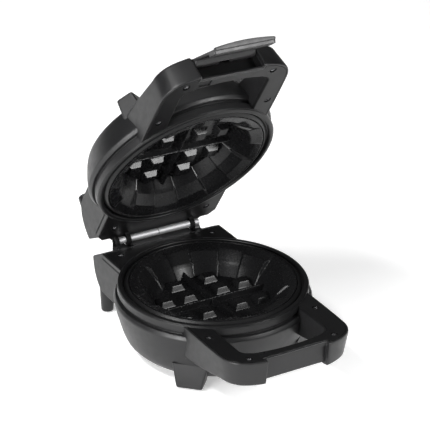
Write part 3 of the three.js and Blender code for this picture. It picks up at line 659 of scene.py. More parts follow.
@dataclass
class Handle:
    """Loop handle of a half: a drafted moulding with a sunk deck, pads and a finger window."""

    grip_depth: float = 32.0
    root_depth: float = 42.0
    grip_start: float = -135.0
    root_end: float = -72.0
    pad_edge: float = 35.0
    pad_give: float = 0.7
    outer: tuple[tuple[float, float], ...] = (
        (74.0, -61.0), (73.6, -100), (72.6, -138), (70.9, -146), (67.7, -152.6),
        (62.2, -158.5), (52, -163.9), (40, -166.9), (35, -GRIP_FRONT), (35, -162.5), (12, -162.5),
    )
    window: tuple[tuple[float, float], ...] = (
        (50, -82.0), (50, -105), (50, -126), (50, -132), (50, -137.2),
        (47.5, -141.8), (44.4, -143.4), (42.2, -144.6), (39.8, -145.9), (31, -147.9), (12, -150.2),
    )
    draft: tuple[float, ...] = (1.0, 1.6, 2.6, 3.2, 3.5, 3.4, 3.0, 2.4, 2.0, 0.5, 0.5)
    outer_radii: tuple[float, ...] = (0.5, 3, 40, 40, 40, 40, 40, 40, 1.5, 1.2, 1.0)
    window_radii: tuple[float, ...] = (0.5, 3, 3, 3, 40, 40, 40, 40, 1.0, 40, 40)

    def ring(self) -> Array:
        """Outline of the whole handle: its outer side, then its window side back again."""
        return np.concatenate([both_sides(self.outer), both_sides(self.window)[::-1]])

    def radii(self) -> Array:
        """Corner radii of the whole outline."""
        out, win = np.array(self.outer_radii), np.array(self.window_radii)
        return np.concatenate([out, out[::-1], win, win[::-1]])

    def sides(self, outer: Sequence[float] | float, window: float) -> Array:
        """Values for each corner: those of the outer side, and one for the window side."""
        count = len(self.outer)
        side = np.broadcast_to(np.asarray(outer, dtype=float), (count,))
        return np.concatenate([side, side[::-1], np.full(2 * count, window)])

    def drawn_in(self, outer: Sequence[float] | float, window: float) -> Array:
        """Outline moved inwards.

        Below the rim, the pads' inner edges take at most their give of it sideways.

        Args:
            outer: Distance on the outer side, one value or one for each corner of a side.
            window: Distance on the window side.

        Returns:
            Corners of the moved outline.
        """
        count = len(self.outer)
        ring = inset_outline(self.ring(), self.sides(outer, window))
        edge = np.clip(np.abs(ring[:, 0]), None, self.pad_edge + np.minimum(np.max(outer), self.pad_give))
        inner = np.isin(np.arange(len(ring)), [count - 3, count - 2, count + 1, count + 2])
        deep = np.max(outer) > BORDER + 0.1
        ring[:, 0] = np.where(inner & deep, np.sign(ring[:, 0]) * edge, ring[:, 0])
        return ring

    def split(self, outer: float, window: float) -> Callable[[Array], Array]:
        """Height that has one value on the outer side and another on the window side."""
        def height(flat: Array) -> Array:
            half = len(flat) // 2
            return np.concatenate([np.full(half, outer), np.full(half, window)])
        return height

    def under(self, rise: float) -> Callable[[Array], Array]:
        """Height of the underside plus a rise: level at the grip, deeper at the arms' roots."""
        def height(flat: Array) -> Array:
            ends, depths = [self.grip_start, self.root_end], [-self.grip_depth, -self.root_depth]
            return np.interp(flat[:, 1], ends, depths) + rise
        return height

    def moulding(self) -> Skin:
        """Builds the handle's wall.

        Rings of the outline rise from the rounded underside up the drafted wall, over the
        rounded rim and down into the groove round the deck.

        Returns:
            The wall's skin.
        """
        draft = np.array(self.draft)
        rings, heights = [], []
        for inset, rise in ((3.4, 0.0), (1.5, 0.35), (0.5, 1.3), (0.05, 2.9)):
            rings.append(self.drawn_in(draft + inset, 0.4 + 0.5 * inset))
            heights.append(self.under(rise))
        rim = (
            (0.1, -3.4), (0.0, -1.4), (0.14, -0.72), (0.42, -0.24), (0.95, 0.0), (1.75, 0.0), (2.1, -0.12),
            (BORDER, -0.45), (BORDER, -3.1),
        )
        for number, (inset, rise) in enumerate(rim):
            inner = 0.1 + 0.04 * number
            rings.append(self.drawn_in(inset, inner))
            heights.append(self.split(rise - DECK, inner - DECK - DECK_PLATE - 0.5))
        return Skin().tower(rings, heights, self.radii(), 5, strip=True)

    def deck_plate(self) -> Skin:
        """Builds the sunk deck: a flat plate inside the rim, eased along the window.

        Returns:
            The deck's skin.
        """
        ring = inset_outline(self.ring(), self.sides(DECK_EDGE, 0.0))
        levels = (
            (0.0, 0.0, -DECK_PLATE), (0.0, 0.0, -1.3), (0.02, 0.2, -0.75), (0.08, 0.6, -0.3), (0.3, 1.4, 0.0),
        )
        rings = [inset_outline(ring, self.sides(outer, window)) for outer, window, _ in levels]
        heights = [rise - DECK for _, _, rise in levels]
        return Skin().tower(rings, heights, self.radii(), 5, strip=True)


@dataclass
class HingeBlock:
    """Block behind the bowl that carries the hinge, with its own sunk deck.

    The start and end of a part are the x values between which it lies.
    """

    half: float = 73.3
    deck_end: float = 112.8
    rear: float = 134.8
    bottom: float = 52.5
    root: float = 93.0
    deck_arc: float = 95.2
    knuckle_radius: float = 6.2
    knuckle_bore: float = 3.2
    seat: float = 4.1
    rails: tuple[tuple[float, float], ...] = ((-52.0, -39.6), (-33.7, 40.2), (45.9, 51.9))
    low_rails: tuple[tuple[float, float], ...] = ((-39.9, -33.4), (39.9, 46.2))

    def side(self, x: float) -> Array:
        """Side outline of the block at x, counter-clockwise, in y and z.

        Its front lies on a circle inside the bowl's wall: y is the root of the circle's radius
        squared less x squared.

        Args:
            x: Distance from the middle.

        Returns:
            Outline corners.
        """
        front = math.sqrt(self.root**2 - x * x)
        return np.array([
            [front, -self.bottom], [self.rear - 26, -self.bottom], [self.rear - 16.8, -50.2],
            [self.rear - 8.3, -42.7], [self.rear - 2.4, -31], [self.rear, -16.5],
            [self.deck_end, -DECK], [self.deck_end - BORDER, -DECK],
            [self.deck_end - BORDER, -DECK - 3.1], [front, -DECK - 3.1],
        ])

    def moulding(self) -> Skin:
        """Builds the block across x with eased ends, and the two side rims of its deck.

        Returns:
            The block's skin.
        """
        ends = np.array([[0.0, 1.5], [0.14, 0.75], [0.5, 0.3], [1.05, 0.06], [1.7, 0.0]])
        places, insets = eased_span(self.half, ends, 6)
        rings = [inset_outline(self.side(x), inset) for x, inset in zip(places, insets, strict=True)]
        radii = np.array([0.5, 14, 14, 14, 14, 1.5, 1.4, 0.3, 0.3, 0.5])
        skin = Skin().tower(rings, list(places), radii, 6, Facing.SIDE)
        rim = box_ring(self.half - BORDER, 63.5, self.half, self.deck_end - 0.4)
        steps = ((0.0, -6.0), (0.0, -1.0), (0.12, -0.5), (0.4, -0.14), (0.8, 0.0))
        rings = [inset_outline(rim, [0, inset, inset, 0]) for inset, _ in steps]
        heights = [rise - DECK for _, rise in steps]
        for side in (rings, [(ring * [-1, 1])[::-1] for ring in rings]):
            skin.tower(side, heights, 0.3, 3)
        return skin

    def deck_plate(self) -> Skin:
        """Builds the sunk deck between the round frame and the block's rim.

        Returns:
            The deck's skin.
        """
        edge, end = self.half - DECK_EDGE, self.deck_end - DECK_EDGE
        outer = both_sides([[edge, 66], [edge, 80], [edge, 96], [edge, end], [40, end], [12, end]])
        angles = np.radians([42.5, 50, 58, 66, 76, 86])
        arc = both_sides(self.deck_arc * np.column_stack([np.cos(angles), np.sin(angles)]))
        ring = np.concatenate([outer[::-1], arc])
        sides = np.repeat([1.0, 0.0], len(outer))
        levels = ((0.0, -DECK_PLATE), (0.0, -0.35), (0.06, -0.12), (0.3, 0.0))
        rings = [inset_outline(ring, inset * sides) for inset, _ in levels]
        return Skin().tower(rings, [rise - DECK for _, rise in levels], 0.8, 3, strip=True)

    def knuckle(self, start: float, end: float) -> Skin:
        """Knuckle of the hinge on its web, between two x values."""
        y = HINGE_Y
        web = np.array([[y - 8, -8.4], [y + 5, -14.8], [y + 4.6, -3.6], [y - 4.6, -3.0], [y - 5, -0.5]])
        tube = Skin().tube(start, end, self.knuckle_radius, self.knuckle_bore, 0.5)
        return tube.tower([web, web], [start, end], 0.8, 4, Facing.SIDE)

    def cradle(self, start: float, end: float) -> Skin:
        """Cradle that holds a sleeve from below: a web with a round seat."""
        y = HINGE_Y
        angle = np.radians(np.linspace(-32, -148, 9))
        seat = np.column_stack([y + self.seat * np.cos(angle), self.seat * np.sin(angle)])
        web = np.concatenate([[[y - 4.6, -3.6], [y - 8, -8.4], [y + 5, -14.8], [y + 4.6, -3.6]], seat])
        return Skin().tower([web, web], [start, end], 0.3, 3, Facing.SIDE)

    def rail(self, start: float, end: float) -> Skin:
        """Rail under a sleeve: it carries the deck's level on below the hinge tube."""
        d = self.deck_end
        ring = np.array([
            [d - 6, -17], [d + 16, -20], [d + 13.4, -8], [d + 12.2, -5.1], [d + 0.6, -DECK], [d - 1.6, -DECK],
            [d - 1.6, -7.4], [d - 6, -7.4],
        ])
        ends = ((0.5, 0.0), (0.15, 0.2), (0.0, 0.6))
        rings = [inset_outline(ring, inset) for inset, _ in ends]
        heights = [start + step for _, step in ends] + [end - step for _, step in ends[::-1]]
        return Skin().tower(rings + rings[::-1], heights, 0.8, 4, Facing.SIDE)

    def low_rail(self, start: float, end: float) -> Skin:
        """Low rail under a knuckle of the lid, clear of its round."""
        d = self.deck_end
        ring = np.array([[d - 6, -17], [d + 16, -20], [d + 13.4, -8.6], [d + 12.2, -7.4], [d - 6, -7.4]])
        return Skin().tower([ring, ring], [start, end], 0.6, 4, Facing.SIDE)

    def hood(self) -> Skin:
        """Hood of the lid that reaches over and behind the tube, with slanted ends.

        Returns:
            The hood's skin.
        """
        h, d = self.half, self.deck_end
        right = [
            [h - 4, d - 4], [h - 0.4, d - 0.4], [h - 7.6, d + 7.9], [h - 17, d + 7.9], [h - 20, d + 12.2],
        ]
        ring = np.roll(both_sides(right), 1, axis=0)
        levels = ((0.6, -8.6), (0.0, -7.9), (0.0, -5.2), (0.2, -4.7), (0.6, -DECK))
        rings = [inset_outline(ring, [0, 0, 0, *[inset] * 6, 0]) for inset, _ in levels]
        return Skin().tower(rings, [height for _, height in levels], 0.8, 4)

    def step(self, start: float, end: float) -> Skin:
        """Raised step along the rear of the deck, in front of a sleeve."""
        d = self.deck_end
        ring = np.array([[d - 1.4, -9], [d + 5.6, -9], [d + 6.6, -7], [d + 4.6, -3.6], [d - 0.8, -3.6]])
        return Skin().tower([ring, ring], [start, end], 0.6, 4, Facing.SIDE)


@dataclass
class Bowl:
    """Round bowl of a half with its shadow groove, feet and pads."""

    depth: float
    front_tip: float
    front_root: float
    widest: float = 104.6
    foot_angle: float = 46.0
    toe: float = 101.0
    heel: float = 78.0
    foot_height: float = 4.5
    pad_height: float = 1.0
    pad_place: float = 90.0

    @property
    def sole(self) -> float:
        """Height of the feet's soles, from which the pads stand out."""
        return self.pad_height - self.depth

    def profile(self) -> Array:
        """Profile of the bowl: floor, rounded side, widest line, groove and band.

        The side's points share the depth between the widest line and the floor, and the
        corners are rounded.

        Returns:
            Radius and z pairs, closed through the inside of the wall.
        """
        floor = self.depth - self.foot_height
        share = np.array([1.0, 0.954, 0.853, 0.734, 0.312])
        inset = np.array([32.6, 22.6, 15.1, 10.4, 3.6])
        side = np.column_stack([self.widest - inset, -19 - share * (floor - 19)])
        upper = np.array([
            [104.6, -19.2], [102.5, -15], [98.6, -15], [98.6, -11.5], [100.55, -11.5], [100.45, -4.2],
            [96.4, -4.2], [96.4, -17.5], [101.4, -20.5],
        ])
        inner = side[::-1] - np.array([[2.6, 0], [2.6, 0], [2.2, -1.4], [1.4, -2.2], [1.0, -2.4]])
        corners = np.concatenate([[[0, -floor]], side, upper, inner, [[0, 2.4 - floor]]])
        radii = [0, 18, 18, 18, 18, 30, 1.6, 0.9, 0.5, 0.5, 0.9, 0.6, 0.4, 1, 1] + [3] * 5 + [0]
        return rounded(corners, np.array(radii, dtype=float), 7, closed=False)

    def foot(self, side: int) -> Skin:
        """Front foot: a block that widens upwards, with rounded edges and sole.

        Args:
            side: 1 for the right foot, -1 for the left one.

        Returns:
            The foot's skin.
        """
        levels = (
            (self.front_tip - 2.6, 2.2, 3.6, 0.0), (self.front_tip - 1.1, 0.9, 1.7, 0.35),
            (self.front_tip - 0.3, 0.2, 0.5, 1.3), (self.front_tip, 0.0, 0.05, 3.0),
            (self.front_root, 0.0, 4.5, 26.0),
        )
        rings = [box_ring(-half, lean - self.toe, half, -self.heel - back) for half, back, lean, _ in levels]
        skin = Skin().tower(rings, [self.sole + rise for *_, rise in levels], 2.6, 6)
        turn = math.radians(side * (90 - self.foot_angle))
        sine, cosine = math.sin(turn), math.cos(turn)
        spin = np.array([[cosine, -sine, 0], [sine, cosine, 0], [0, 0, 1]])
        skin.points = [points @ spin.T for points in skin.points]
        return skin

    def rear_foot(self) -> Skin:
        """Round rear foot that widens upwards, with an eased sole."""
        sole = self.sole
        profile = [[0, sole], [5.6, sole], [6.4, sole + 0.3], [6.7, sole + 1.2], [8.4, -44], [0, -44]]
        return Skin().turn(np.array(profile), 48)

    def pad(self) -> Skin:
        """Round rubber pad with a soft lower edge, sunk into a foot."""
        low = -self.depth
        profile = [
            [0, low], [3.9, low], [4.4, low + 0.25], [4.6, low + 0.8], [4.6, low + 2.4], [0, low + 2.4],
        ]
        return Skin().turn(np.array(profile), 40)

    def skin(self) -> Skin:
        """Bowl and its four feet."""
        rear = [self.rear_foot().moved(side * REAR_FOOT[0], REAR_FOOT[1], 0) for side in (-1, 1)]
        return Skin().turn(self.profile(), 180).add(self.foot(1), self.foot(-1), *rear)

    def pads(self) -> Skin:
        """The four pads in their places."""
        turn = math.radians(90 - self.foot_angle)
        front = (self.pad_place * math.sin(turn), -self.pad_place * math.cos(turn))
        places = [(side * x, y) for side in (-1, 1) for x, y in (front, REAR_FOOT)]
        return Skin().add(*(self.pad().moved(x, y, 0) for x, y in places))


@dataclass
class CookingPlate:
    """Cast plate: a deep dish with tabs round its wall, two crossed ribs and twelve studs."""

    rim: float = 87.6
    mouth: float = 80.0
    ledge: float = 67.5
    ledge_drop: float = 19.0
    floor: float = 59.0
    floor_drop: float = 29.5
    floor_end: float = 60.3
    sunk: float = -31.2
    underside: float = -32.0
    tabs: int = 8
    tab_half: float = 12.0
    crest: float = 6.3
    rib_foot: float = 2.3
    rib_slope: float = 1.55
    rib_end: float = 64.0
    rib_low: float = 0.8
    stud_foot: float = 8.5
    stud_slope: float = 3.1
    softness: float = 0.0035
    studs: tuple[float, float] = (20.0, 46.5)

    def dish(self) -> Skin:
        """Builds the dish and its tabs.

        The wall's profile is the same all round but for its radius, which is smaller by the
        third value of each profile point wherever the angle lies within a tab. The tab's sides
        ease over 1.5 degrees.

        Returns:
            The dish's skin.
        """
        near = np.array([0, 3, 6, 9, 10.6, 11.2, 11.6, 12.0, 12.4, 12.8, 13.4, 15, 18, 20.5])
        local = np.concatenate([-near[:0:-1], near])
        centres = 360.0 / self.tabs * (np.arange(self.tabs) + 0.5)
        angle = np.radians((centres[:, None] + local[None, :]).reshape(-1))
        t = np.clip((self.tab_half + 0.75 - np.abs(np.tile(local, self.tabs))) / 1.5, 0, 1)
        tab = (t * t * (3 - 2 * t))[:, None]
        f, e, m, r = self.floor, self.ledge, self.mouth, self.rim
        drop = -self.ledge_drop
        plain = np.array([
            [0, -29.58, 0], [f - 1.2, -29.58, 0], [f + 0.4, -29.3, 0], [e - 1.6, drop - 1.0, 1.7],
            [e - 0.7, drop + 0.1, 2.0], [e - 0.15, drop + 0.9, 2.1], [e + 1.2, -16.4, 2.5],
            [e + 1.5, -16.1, 2.6], [m - 1.3, -7.0, 4.6], [m - 0.5, -6.3, 4.6], [m + 0.3, -5.7, 4.0],
            [m + 1.2, -5.2, 2.4], [r - 1.6, -2.9, 0], [r - 0.8, -2.6, 0], [r - 0.2, -2.8, 0], [r, -3.5, 0],
            [r, -11, 0], [m + 1, -11, 0], [e + 3, -20, 0], [61.5, -32.5, 0], [0, -32.5, 0],
        ])
        radius = plain[None, :, 0] - tab * plain[None, :, 2]
        grid = np.stack([
            radius * np.cos(angle)[:, None], radius * np.sin(angle)[:, None],
            np.broadcast_to(plain[None, :, 1], radius.shape),
        ], axis=-1)
        return Skin().sheet(grid, wrap_rows=True)

    def relief(self, x: Array, y: Array) -> Array:
        """Height of the grid above the floor.

        A rib is a ridge whose height falls with the distance from its line. A stud is a
        truncated pyramid whose height falls with the larger of the distances from its centre
        in x and y. The highest of all counts at each point, cut off at the crest.

        Args:
            x: Grid of x values.
            y: Grid of y values.

        Returns:
            Grid of heights.
        """
        rib = self.crest * self.softened((self.rib_foot - np.minimum(np.abs(x), np.abs(y))) / self.rib_slope)
        high = np.where(np.hypot(x, y) < self.rib_end, rib, 0.0)
        near, far = self.studs
        for cx, cy in ((near, near), (far, near), (near, far)):
            distance = np.maximum(np.abs(np.abs(x) - cx), np.abs(np.abs(y) - cy))
            stud = self.crest * self.softened((self.stud_foot - distance) / self.stud_slope)
            high = np.maximum(high, stud)
        return high

    def softened(self, share: Array) -> Array:
        """Share of the height, held between 0 and 1 with round corners.

        It is half of one plus the soft length of the share less that of the share minus one,
        where a soft length is the root of the square plus a small square.
        """
        small = self.softness
        return 0.5 * (1 + np.sqrt(share**2 + small) - np.sqrt((share - 1) ** 2 + small))

    def lines(self) -> Array:
        """Grid lines along one axis: close together at the edges of ribs and studs."""
        rib = np.array([0.0, 0.35, 0.6, 0.75, 0.9, 1.2, 1.7, 2.1, 2.3, 2.6, 3.2])
        step = np.array([4.2, 5.0, 5.25, 5.4, 5.55, 5.8, 6.3, 7.1, 7.9, 8.3, 8.5, 8.7, 9.1, 10.0])
        stud = np.concatenate([-step, [-2.0, 0.0, 2.0], step])
        studs = np.concatenate([centre + stud for centre in self.studs])
        half = np.concatenate([rib, [5.5, 7.7], studs, [32.0, 33.25, 34.5, 58.3, 60.0, 61.6, 63.4]])
        whole = np.unique(np.round(np.concatenate([-half, half]), 3))
        return whole[np.concatenate([[True], np.diff(whole) > 0.12])]

    def grid(self) -> Skin:
        """Builds the floor with its ribs and studs as a field of heights.

        What lies beyond the dish's floor is sunk below it, except the ribs' ends.

        Returns:
            The floor's skin.
        """
        line = self.lines()
        x, y = np.meshgrid(line, line, indexing="ij")
        high = self.relief(x, y)
        reach = np.hypot(x, y)
        outside = (reach > self.floor_end) & (high < self.rib_low) | (reach > self.rib_end - 0.2)
        z = np.where(outside, self.sunk, high - self.floor_drop)
        top = np.stack([x, y, z], axis=-1)
        low = top.copy()
        low[..., 2] = self.underside
        skin = Skin().sheet(top).sheet(low)
        for edge in ((slice(None), 0), (slice(None), -1), (0, slice(None)), (-1, slice(None))):
            skin.sheet(np.stack([top[edge], low[edge]]))
        return skin

    def skin(self) -> Skin:
        """Dish and grid together."""
        return self.dish().add(self.grid())


@dataclass
class RoundFrame:
    """Round band of the trim frame: an inner ridge, a groove and a rounded outer lip."""

    inner: float = 88.2
    radius: float = 100.0
    top: float = 2.2
    groove: float = 5.9

    def skin(self) -> Skin:
        """Builds the band as a turned profile with rounded corners."""
        r, o, z, g = self.inner, self.radius, -self.top, -self.groove
        corners = np.array([
            [r, -8.4], [r, z - 1.0], [r + 0.6, z - 0.2], [r + 1.3, z - 0.3], [r + 4.2, z - 2.7], [r + 4.6, g],
            [r + 6.2, g], [r + 6.6, z - 0.9], [r + 7.5, z], [o - 2.7, z], [o - 0.6, z - 0.7], [o, z - 1.4],
            [o, z - 2.1], [o - 4.1, z - 2.1], [o - 4.1, -8.4],
        ])
        radii = np.array([0.3, 0.5, 0.5, 0.7, 0.6, 0.4, 0.4, 0.7, 0.8, 1.6, 0.9, 0.7, 0.3, 0.3, 0.3])
        return Skin().turn(rounded(corners, radii, 6), 180)


@dataclass
class Screws:
    """Pan-head screws of a half, sunk in the decks, with their cross recesses."""

    places: tuple[tuple[float, float], ...] = ((62.8, -99.4), (49.3, -154.2), (56.6, 99.7))
    head: float = 3.35
    bore: float = 3.8
    slot_half: float = 0.62
    slot_end: float = 2.05
    slot_depth: float = 1.0
    turns: tuple[float, float] = (23.0, 31.0)

    def spots(self) -> list[tuple[float, float]]:
        """Places of all six screws."""
        return [(side * x, y) for x, y in self.places for side in (1, -1)]

    def screw(self, turn: float) -> Skin:
        """Builds one screw.

        The head is a low dome, sunk by the cross recess where the distance to one of the
        two slot lines is small, on a grid of radius and angle.

        Args:
            turn: Turn of the cross, in degrees.

        Returns:
            The screw's skin.
        """
        radius = np.linspace(0, 1, 14)[None, :] * self.head
        angle = around(64)
        x, y = radius * np.cos(angle), radius * np.sin(angle)
        slot = np.minimum(np.abs(x), np.abs(y))
        across = np.clip((self.slot_half - slot) / 0.25, 0, 1)
        sunk = self.slot_depth * across * np.clip((self.slot_end - radius) / 0.4, 0, 1)
        top = -DECK - 0.55 - 0.55 * (radius / self.head) ** 3 - sunk
        spin = math.radians(turn)
        sine, cosine = math.sin(spin), math.cos(spin)
        dome = np.stack([x * cosine - y * sine, x * sine + y * cosine, top], axis=-1)
        side = np.array([[self.head, -1.1], [self.head, -2.0], [1.5, -2.0], [1.5, -11.5], [0, -11.5]])
        side[:, 1] -= DECK
        rest = np.stack([
            side[None, :, 0] * np.cos(angle + spin), side[None, :, 0] * np.sin(angle + spin),
            side[None, :, 1] + 0 * angle,
        ], axis=-1)
        return Skin().sheet(np.concatenate([dome, rest], axis=1), wrap_rows=True)

    def skin(self) -> Skin:
        """The six screws, each turned its own way."""
        first, further = self.turns
        spots = enumerate(self.spots())
        return Skin().add(*(self.screw(first + further * n).moved(x, y, 0) for n, (x, y) in spots))

    def bores(self, rear: bool) -> Skin:
        """Round counterbores of the rear deck or of the handle's deck, for cutting."""
        low, high = -DECK - 2.2, 1 - DECK
        bore = Skin().turn(np.array([[0, low], [self.bore, low], [self.bore, high], [0, high]]), 40)
        return Skin().add(*(bore.moved(x, y, 0) for x, y in self.spots() if (y > 0) == rear))


@dataclass
class Half:
    """One half of the waffle maker: housing, frame, plate, screws and pads."""

    body: Body
    depth: float
    front_tip: float
    front_root: float
    pocket: tuple[float, float, float, float]
    knuckles: tuple[tuple[float, float], ...]

    @property
    def label(self) -> str:
        """Name of the half, as its nodes start."""
        return self.body.value

    @property
    def bowl(self) -> Bowl:
        """The half's bowl."""
        return Bowl(self.depth, self.front_tip, self.front_root)

    def piece(
        self,
        skin: Skin,
        kind: str,
        finish: Finish,
        nodes: Sequence[str] = (),
        cutters: Sequence[Skin] = (),
        lining: Finish | None = None,
    ) -> None:
        """Makes a finished piece of the half. Its name and its nodes' names start with the half's.

        Args:
            skin: The piece's shells.
            kind: Name of the piece after the half's.
            finish: Its finish.
            nodes: Names of the nodes that it stands for, after the half's.
            cutters: Shells that are cut out of it, one after the other.
            lining: Finish of the cut faces, where it differs.
        """
        names = [f"{self.label}_{node}" for node in nodes]
        dress(skin, f"{self.label}_{kind}", self.body, finish, names, cutters, lining)

    def housing(self) -> None:
        """Builds the housing: bowl, handle, hinge block, feet and knuckles."""
        block = HingeBlock()
        # In the lid, the latch bay's cut faces take the darker plastic copy: painted shade in the recess.
        bay = MOULDED if self.body is Body.BASE else SHADED_PLASTIC
        self.piece(Handle().moulding(), "handle", MOULDED, cutters=self.handle_cuts(), lining=bay)
        rear = block.moulding()
        knuckles = Skin().add(*(block.knuckle(*ends) for ends in self.knuckles))
        # The knuckles take the darker plastic copy too: painted shade between the sleeves.
        self.piece(knuckles, "knuckles", SHADED_PLASTIC)
        if self.body is Body.BASE:
            rear.add(block.cradle(45.7, 51.9), block.step(-33.8, 0.8))
            rear.add(*(block.rail(*ends) for ends in block.rails))
            rear.add(*(block.low_rail(*ends) for ends in block.low_rails))
        else:
            self.piece(block.hood(), "hood", SATIN)
        self.piece(rear, "hinge_block", MOULDED)
        self.piece(self.bowl.skin(), "bowl", MOULDED, ["housing"])

    def handle_cuts(self) -> list[Skin]:
        """Cuts in the handle: the latch's catch in the base, and the latch's bay in the lid."""
        if self.body is Body.BASE:
            return [
                block_skin([-35, -180, -60], [35, -160, -9.2]),
                block_skin([-34.99, -181, -61], [34.99, -145, -28.5]),
            ]
        return [block_skin([-34.6, -180, -29.6], [34.6, -153.0, -7.0])]

    def frame(self) -> None:
        """Builds the frame: its round band and the two sunk decks, with bores and pocket."""
        x0, y0, x1, y1 = self.pocket
        pocket = block_skin([x0, y0, -5.6], [x1, y1, -3], 0.8)
        front, rear = Screws().bores(False), Screws().bores(True)
        self.piece(Handle().deck_plate(), "deck", SATIN, cutters=[front, pocket])
        self.piece(HingeBlock().deck_plate(), "rear_deck", SATIN, cutters=[rear])
        self.piece(RoundFrame().skin(), "band", SATIN, ["frame"])

    def build(self) -> None:
        """Builds and dresses every piece of the half."""
        self.housing()
        self.frame()
        self.piece(CookingPlate().skin(), "grid_plate", COATING, ["plate"])
        self.piece(Screws().skin(), "screws", BLACKED, [f"screw_{number}" for number in range(1, 7)])
        self.piece(self.bowl.pads(), "pads", RUBBER, [f"pad_{number}" for number in range(1, 5)])
        inside = {"element": HEATER, "reflector": SHEET, "thermostat": CERAMIC, "fuse": SHEET}
        for kind, finish in inside.items():
            carry(f"{self.label}_{kind}", finish)


@dataclass
class Latch:
    """Latch of the lid's handle: a bowed lever with a lipped end and two barrels."""

    half: float = 34.2
    bow: float = 2.5
    back: float = -163.0
    sunk: float = 1.6

    def face(self, x: float) -> float:
        """Place of the outer face at x: it bows out towards the middle."""
        return self.sunk - GRIP_FRONT - self.bow * (1 - (x / self.half) ** 2)

    def section(self, x: float) -> Array:
        """Side outline of the lever at x: down its outer side, then up its inner side.

        Args:
            x: Distance from the middle.

        Returns:
            Outline corners.
        """
        f, b, (py, pz) = self.face(x), self.back, LATCH_PIVOT
        outer = [
            [py, pz + 5.5], [py - 3.6, pz + 3.6], [f, 23.0], [f, 19.0], [f, -9.0], [f, -10.2],
            [f, -21.2], [f - 1.2, -21.8], [f - 1.2, -24],
        ]
        inner = [
            [py + 3.8, pz + 3.9], [py + 5.4, pz], [py + 3.6, pz - 4.2], [b, 19.2], [b, -9.6], [b + 2.7, -9.6],
            [b + 2.6, -22], [b - 1.2, -22.2], [b - 1.2, -24],
        ]
        return np.array(outer + inner[::-1])

    def lever(self) -> Skin:
        """Builds the lever across x, with eased ends.

        Returns:
            The lever's skin.
        """
        ends = np.array([[0.0, 0.9], [0.35, 0.4], [1.0, 0.1], [2.0, 0.0]])
        places, insets = eased_span(self.half, ends, 4)
        rings = [inset_outline(self.section(x), inset) for x, inset in zip(places, insets, strict=True)]
        radii = [2.5, 2.5, 1.5, 0.5, 0.5, 0.5, 0.5, 0.5, 0.8, 0.8, 0.3, 1, 0.6, 0.4, 1, 2.5, 2.5, 2.5]
        return Skin().tower(rings, list(places), np.array(radii), 4, Facing.SIDE, strip=True)

    def cuts(self) -> list[Skin]:
        """Hollow behind the lever's face, and the room between its two barrels."""
        return [
            block_skin([-31.8, -165.4, -6], [31.8, -150, 16.5]),
            block_skin([-7.5, -170, 21.5], [7.5, -150, 34]),
        ]

    def build(self) -> None:
        """Builds and dresses the latch, its pin and its bush."""
        dress(self.lever(), "latch_lever", Body.LATCH, LEVER, ["latch"], cutters=self.cuts())
        carry("latch_pin", POLISHED)
        carry("latch_bush", POLISHED)


@dataclass
class Hinge:
    """Hinge tube with its four polished sleeves, and the cord gland below it."""

    sleeves: tuple[tuple[float, float], ...] = ((-48.1, -39.4), (-33.9, 0.6), (1.3, 40.4), (45.7, 51.9))
    sleeve_radius: float = 3.8
    sleeve_bore: float = 3.15
    tube: tuple[float, float] = (-51.0, 51.9)
    tube_radius: float = 3.05
    tube_bore: float = 1.9
    gland_place: tuple[float, float] = (40.0, -28.0)

    def build(self) -> None:
        """Builds and dresses the hinge's pieces and the gland."""
        sleeves = Skin()
        for start, end in self.sleeves:
            sleeves.tube(start, end, self.sleeve_radius, self.sleeve_bore, 0.25)
        nodes = [f"hinge_sleeve_{number}" for number in range(1, 5)]
        dress(sleeves, "hinge_sleeves", Body.BASE, POLISHED, nodes)
        tube = Skin().tube(*self.tube, self.tube_radius, self.tube_bore, 0.2)
        # The rod takes the near-black steel copy: painted shade where it shows between the sleeves.
        dress(tube, "hinge_tube", Body.BASE, SHADED_ROD_STEEL, ["hinge_rod"])
        dress(self.gland(), "cord_inlet", Body.BASE, RUBBER, ["cord_gland"])
        carry("link_wire", RUBBER)

    def gland(self) -> Skin:
        """Builds the gland along y: a flange inside and a short ribbed sleeve outside."""
        y, r = np.array([
            [121, 3.0], [121, 7.2], [123.5, 7.2], [123.5, 5.0], [133.8, 5.0], [134.2, 5.0], [135, 5.0],
            [135.4, 4.5], [136.2, 4.5], [136.6, 5.0], [137.4, 5.0], [137.8, 4.5], [138.7, 4.5], [139, 4.3],
            [139, 3.0], [121, 3.0],
        ]).T
        x, z = self.gland_place
        angle = around(40)
        grid = np.stack([x + r * np.cos(angle), y + 0 * angle, z + r * np.sin(angle)], axis=-1)
        return Skin().sheet(grid, wrap_rows=True, wrap_columns=True)


def carry(node: str, finish: Finish) -> None:
    """Gives a node of the frame that keeps its shape its finish.

    Args:
        node: Name of the node.
        finish: Its finish.
    """
    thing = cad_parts[node]
    if not thing.material_slots:
        thing.data.materials.append(finish.material())
    for holder in thing.material_slots:
        holder.link = "OBJECT"
        holder.material = finish.material()
    LOG.info("node %s keeps its shape, finish %s", node, finish.name)


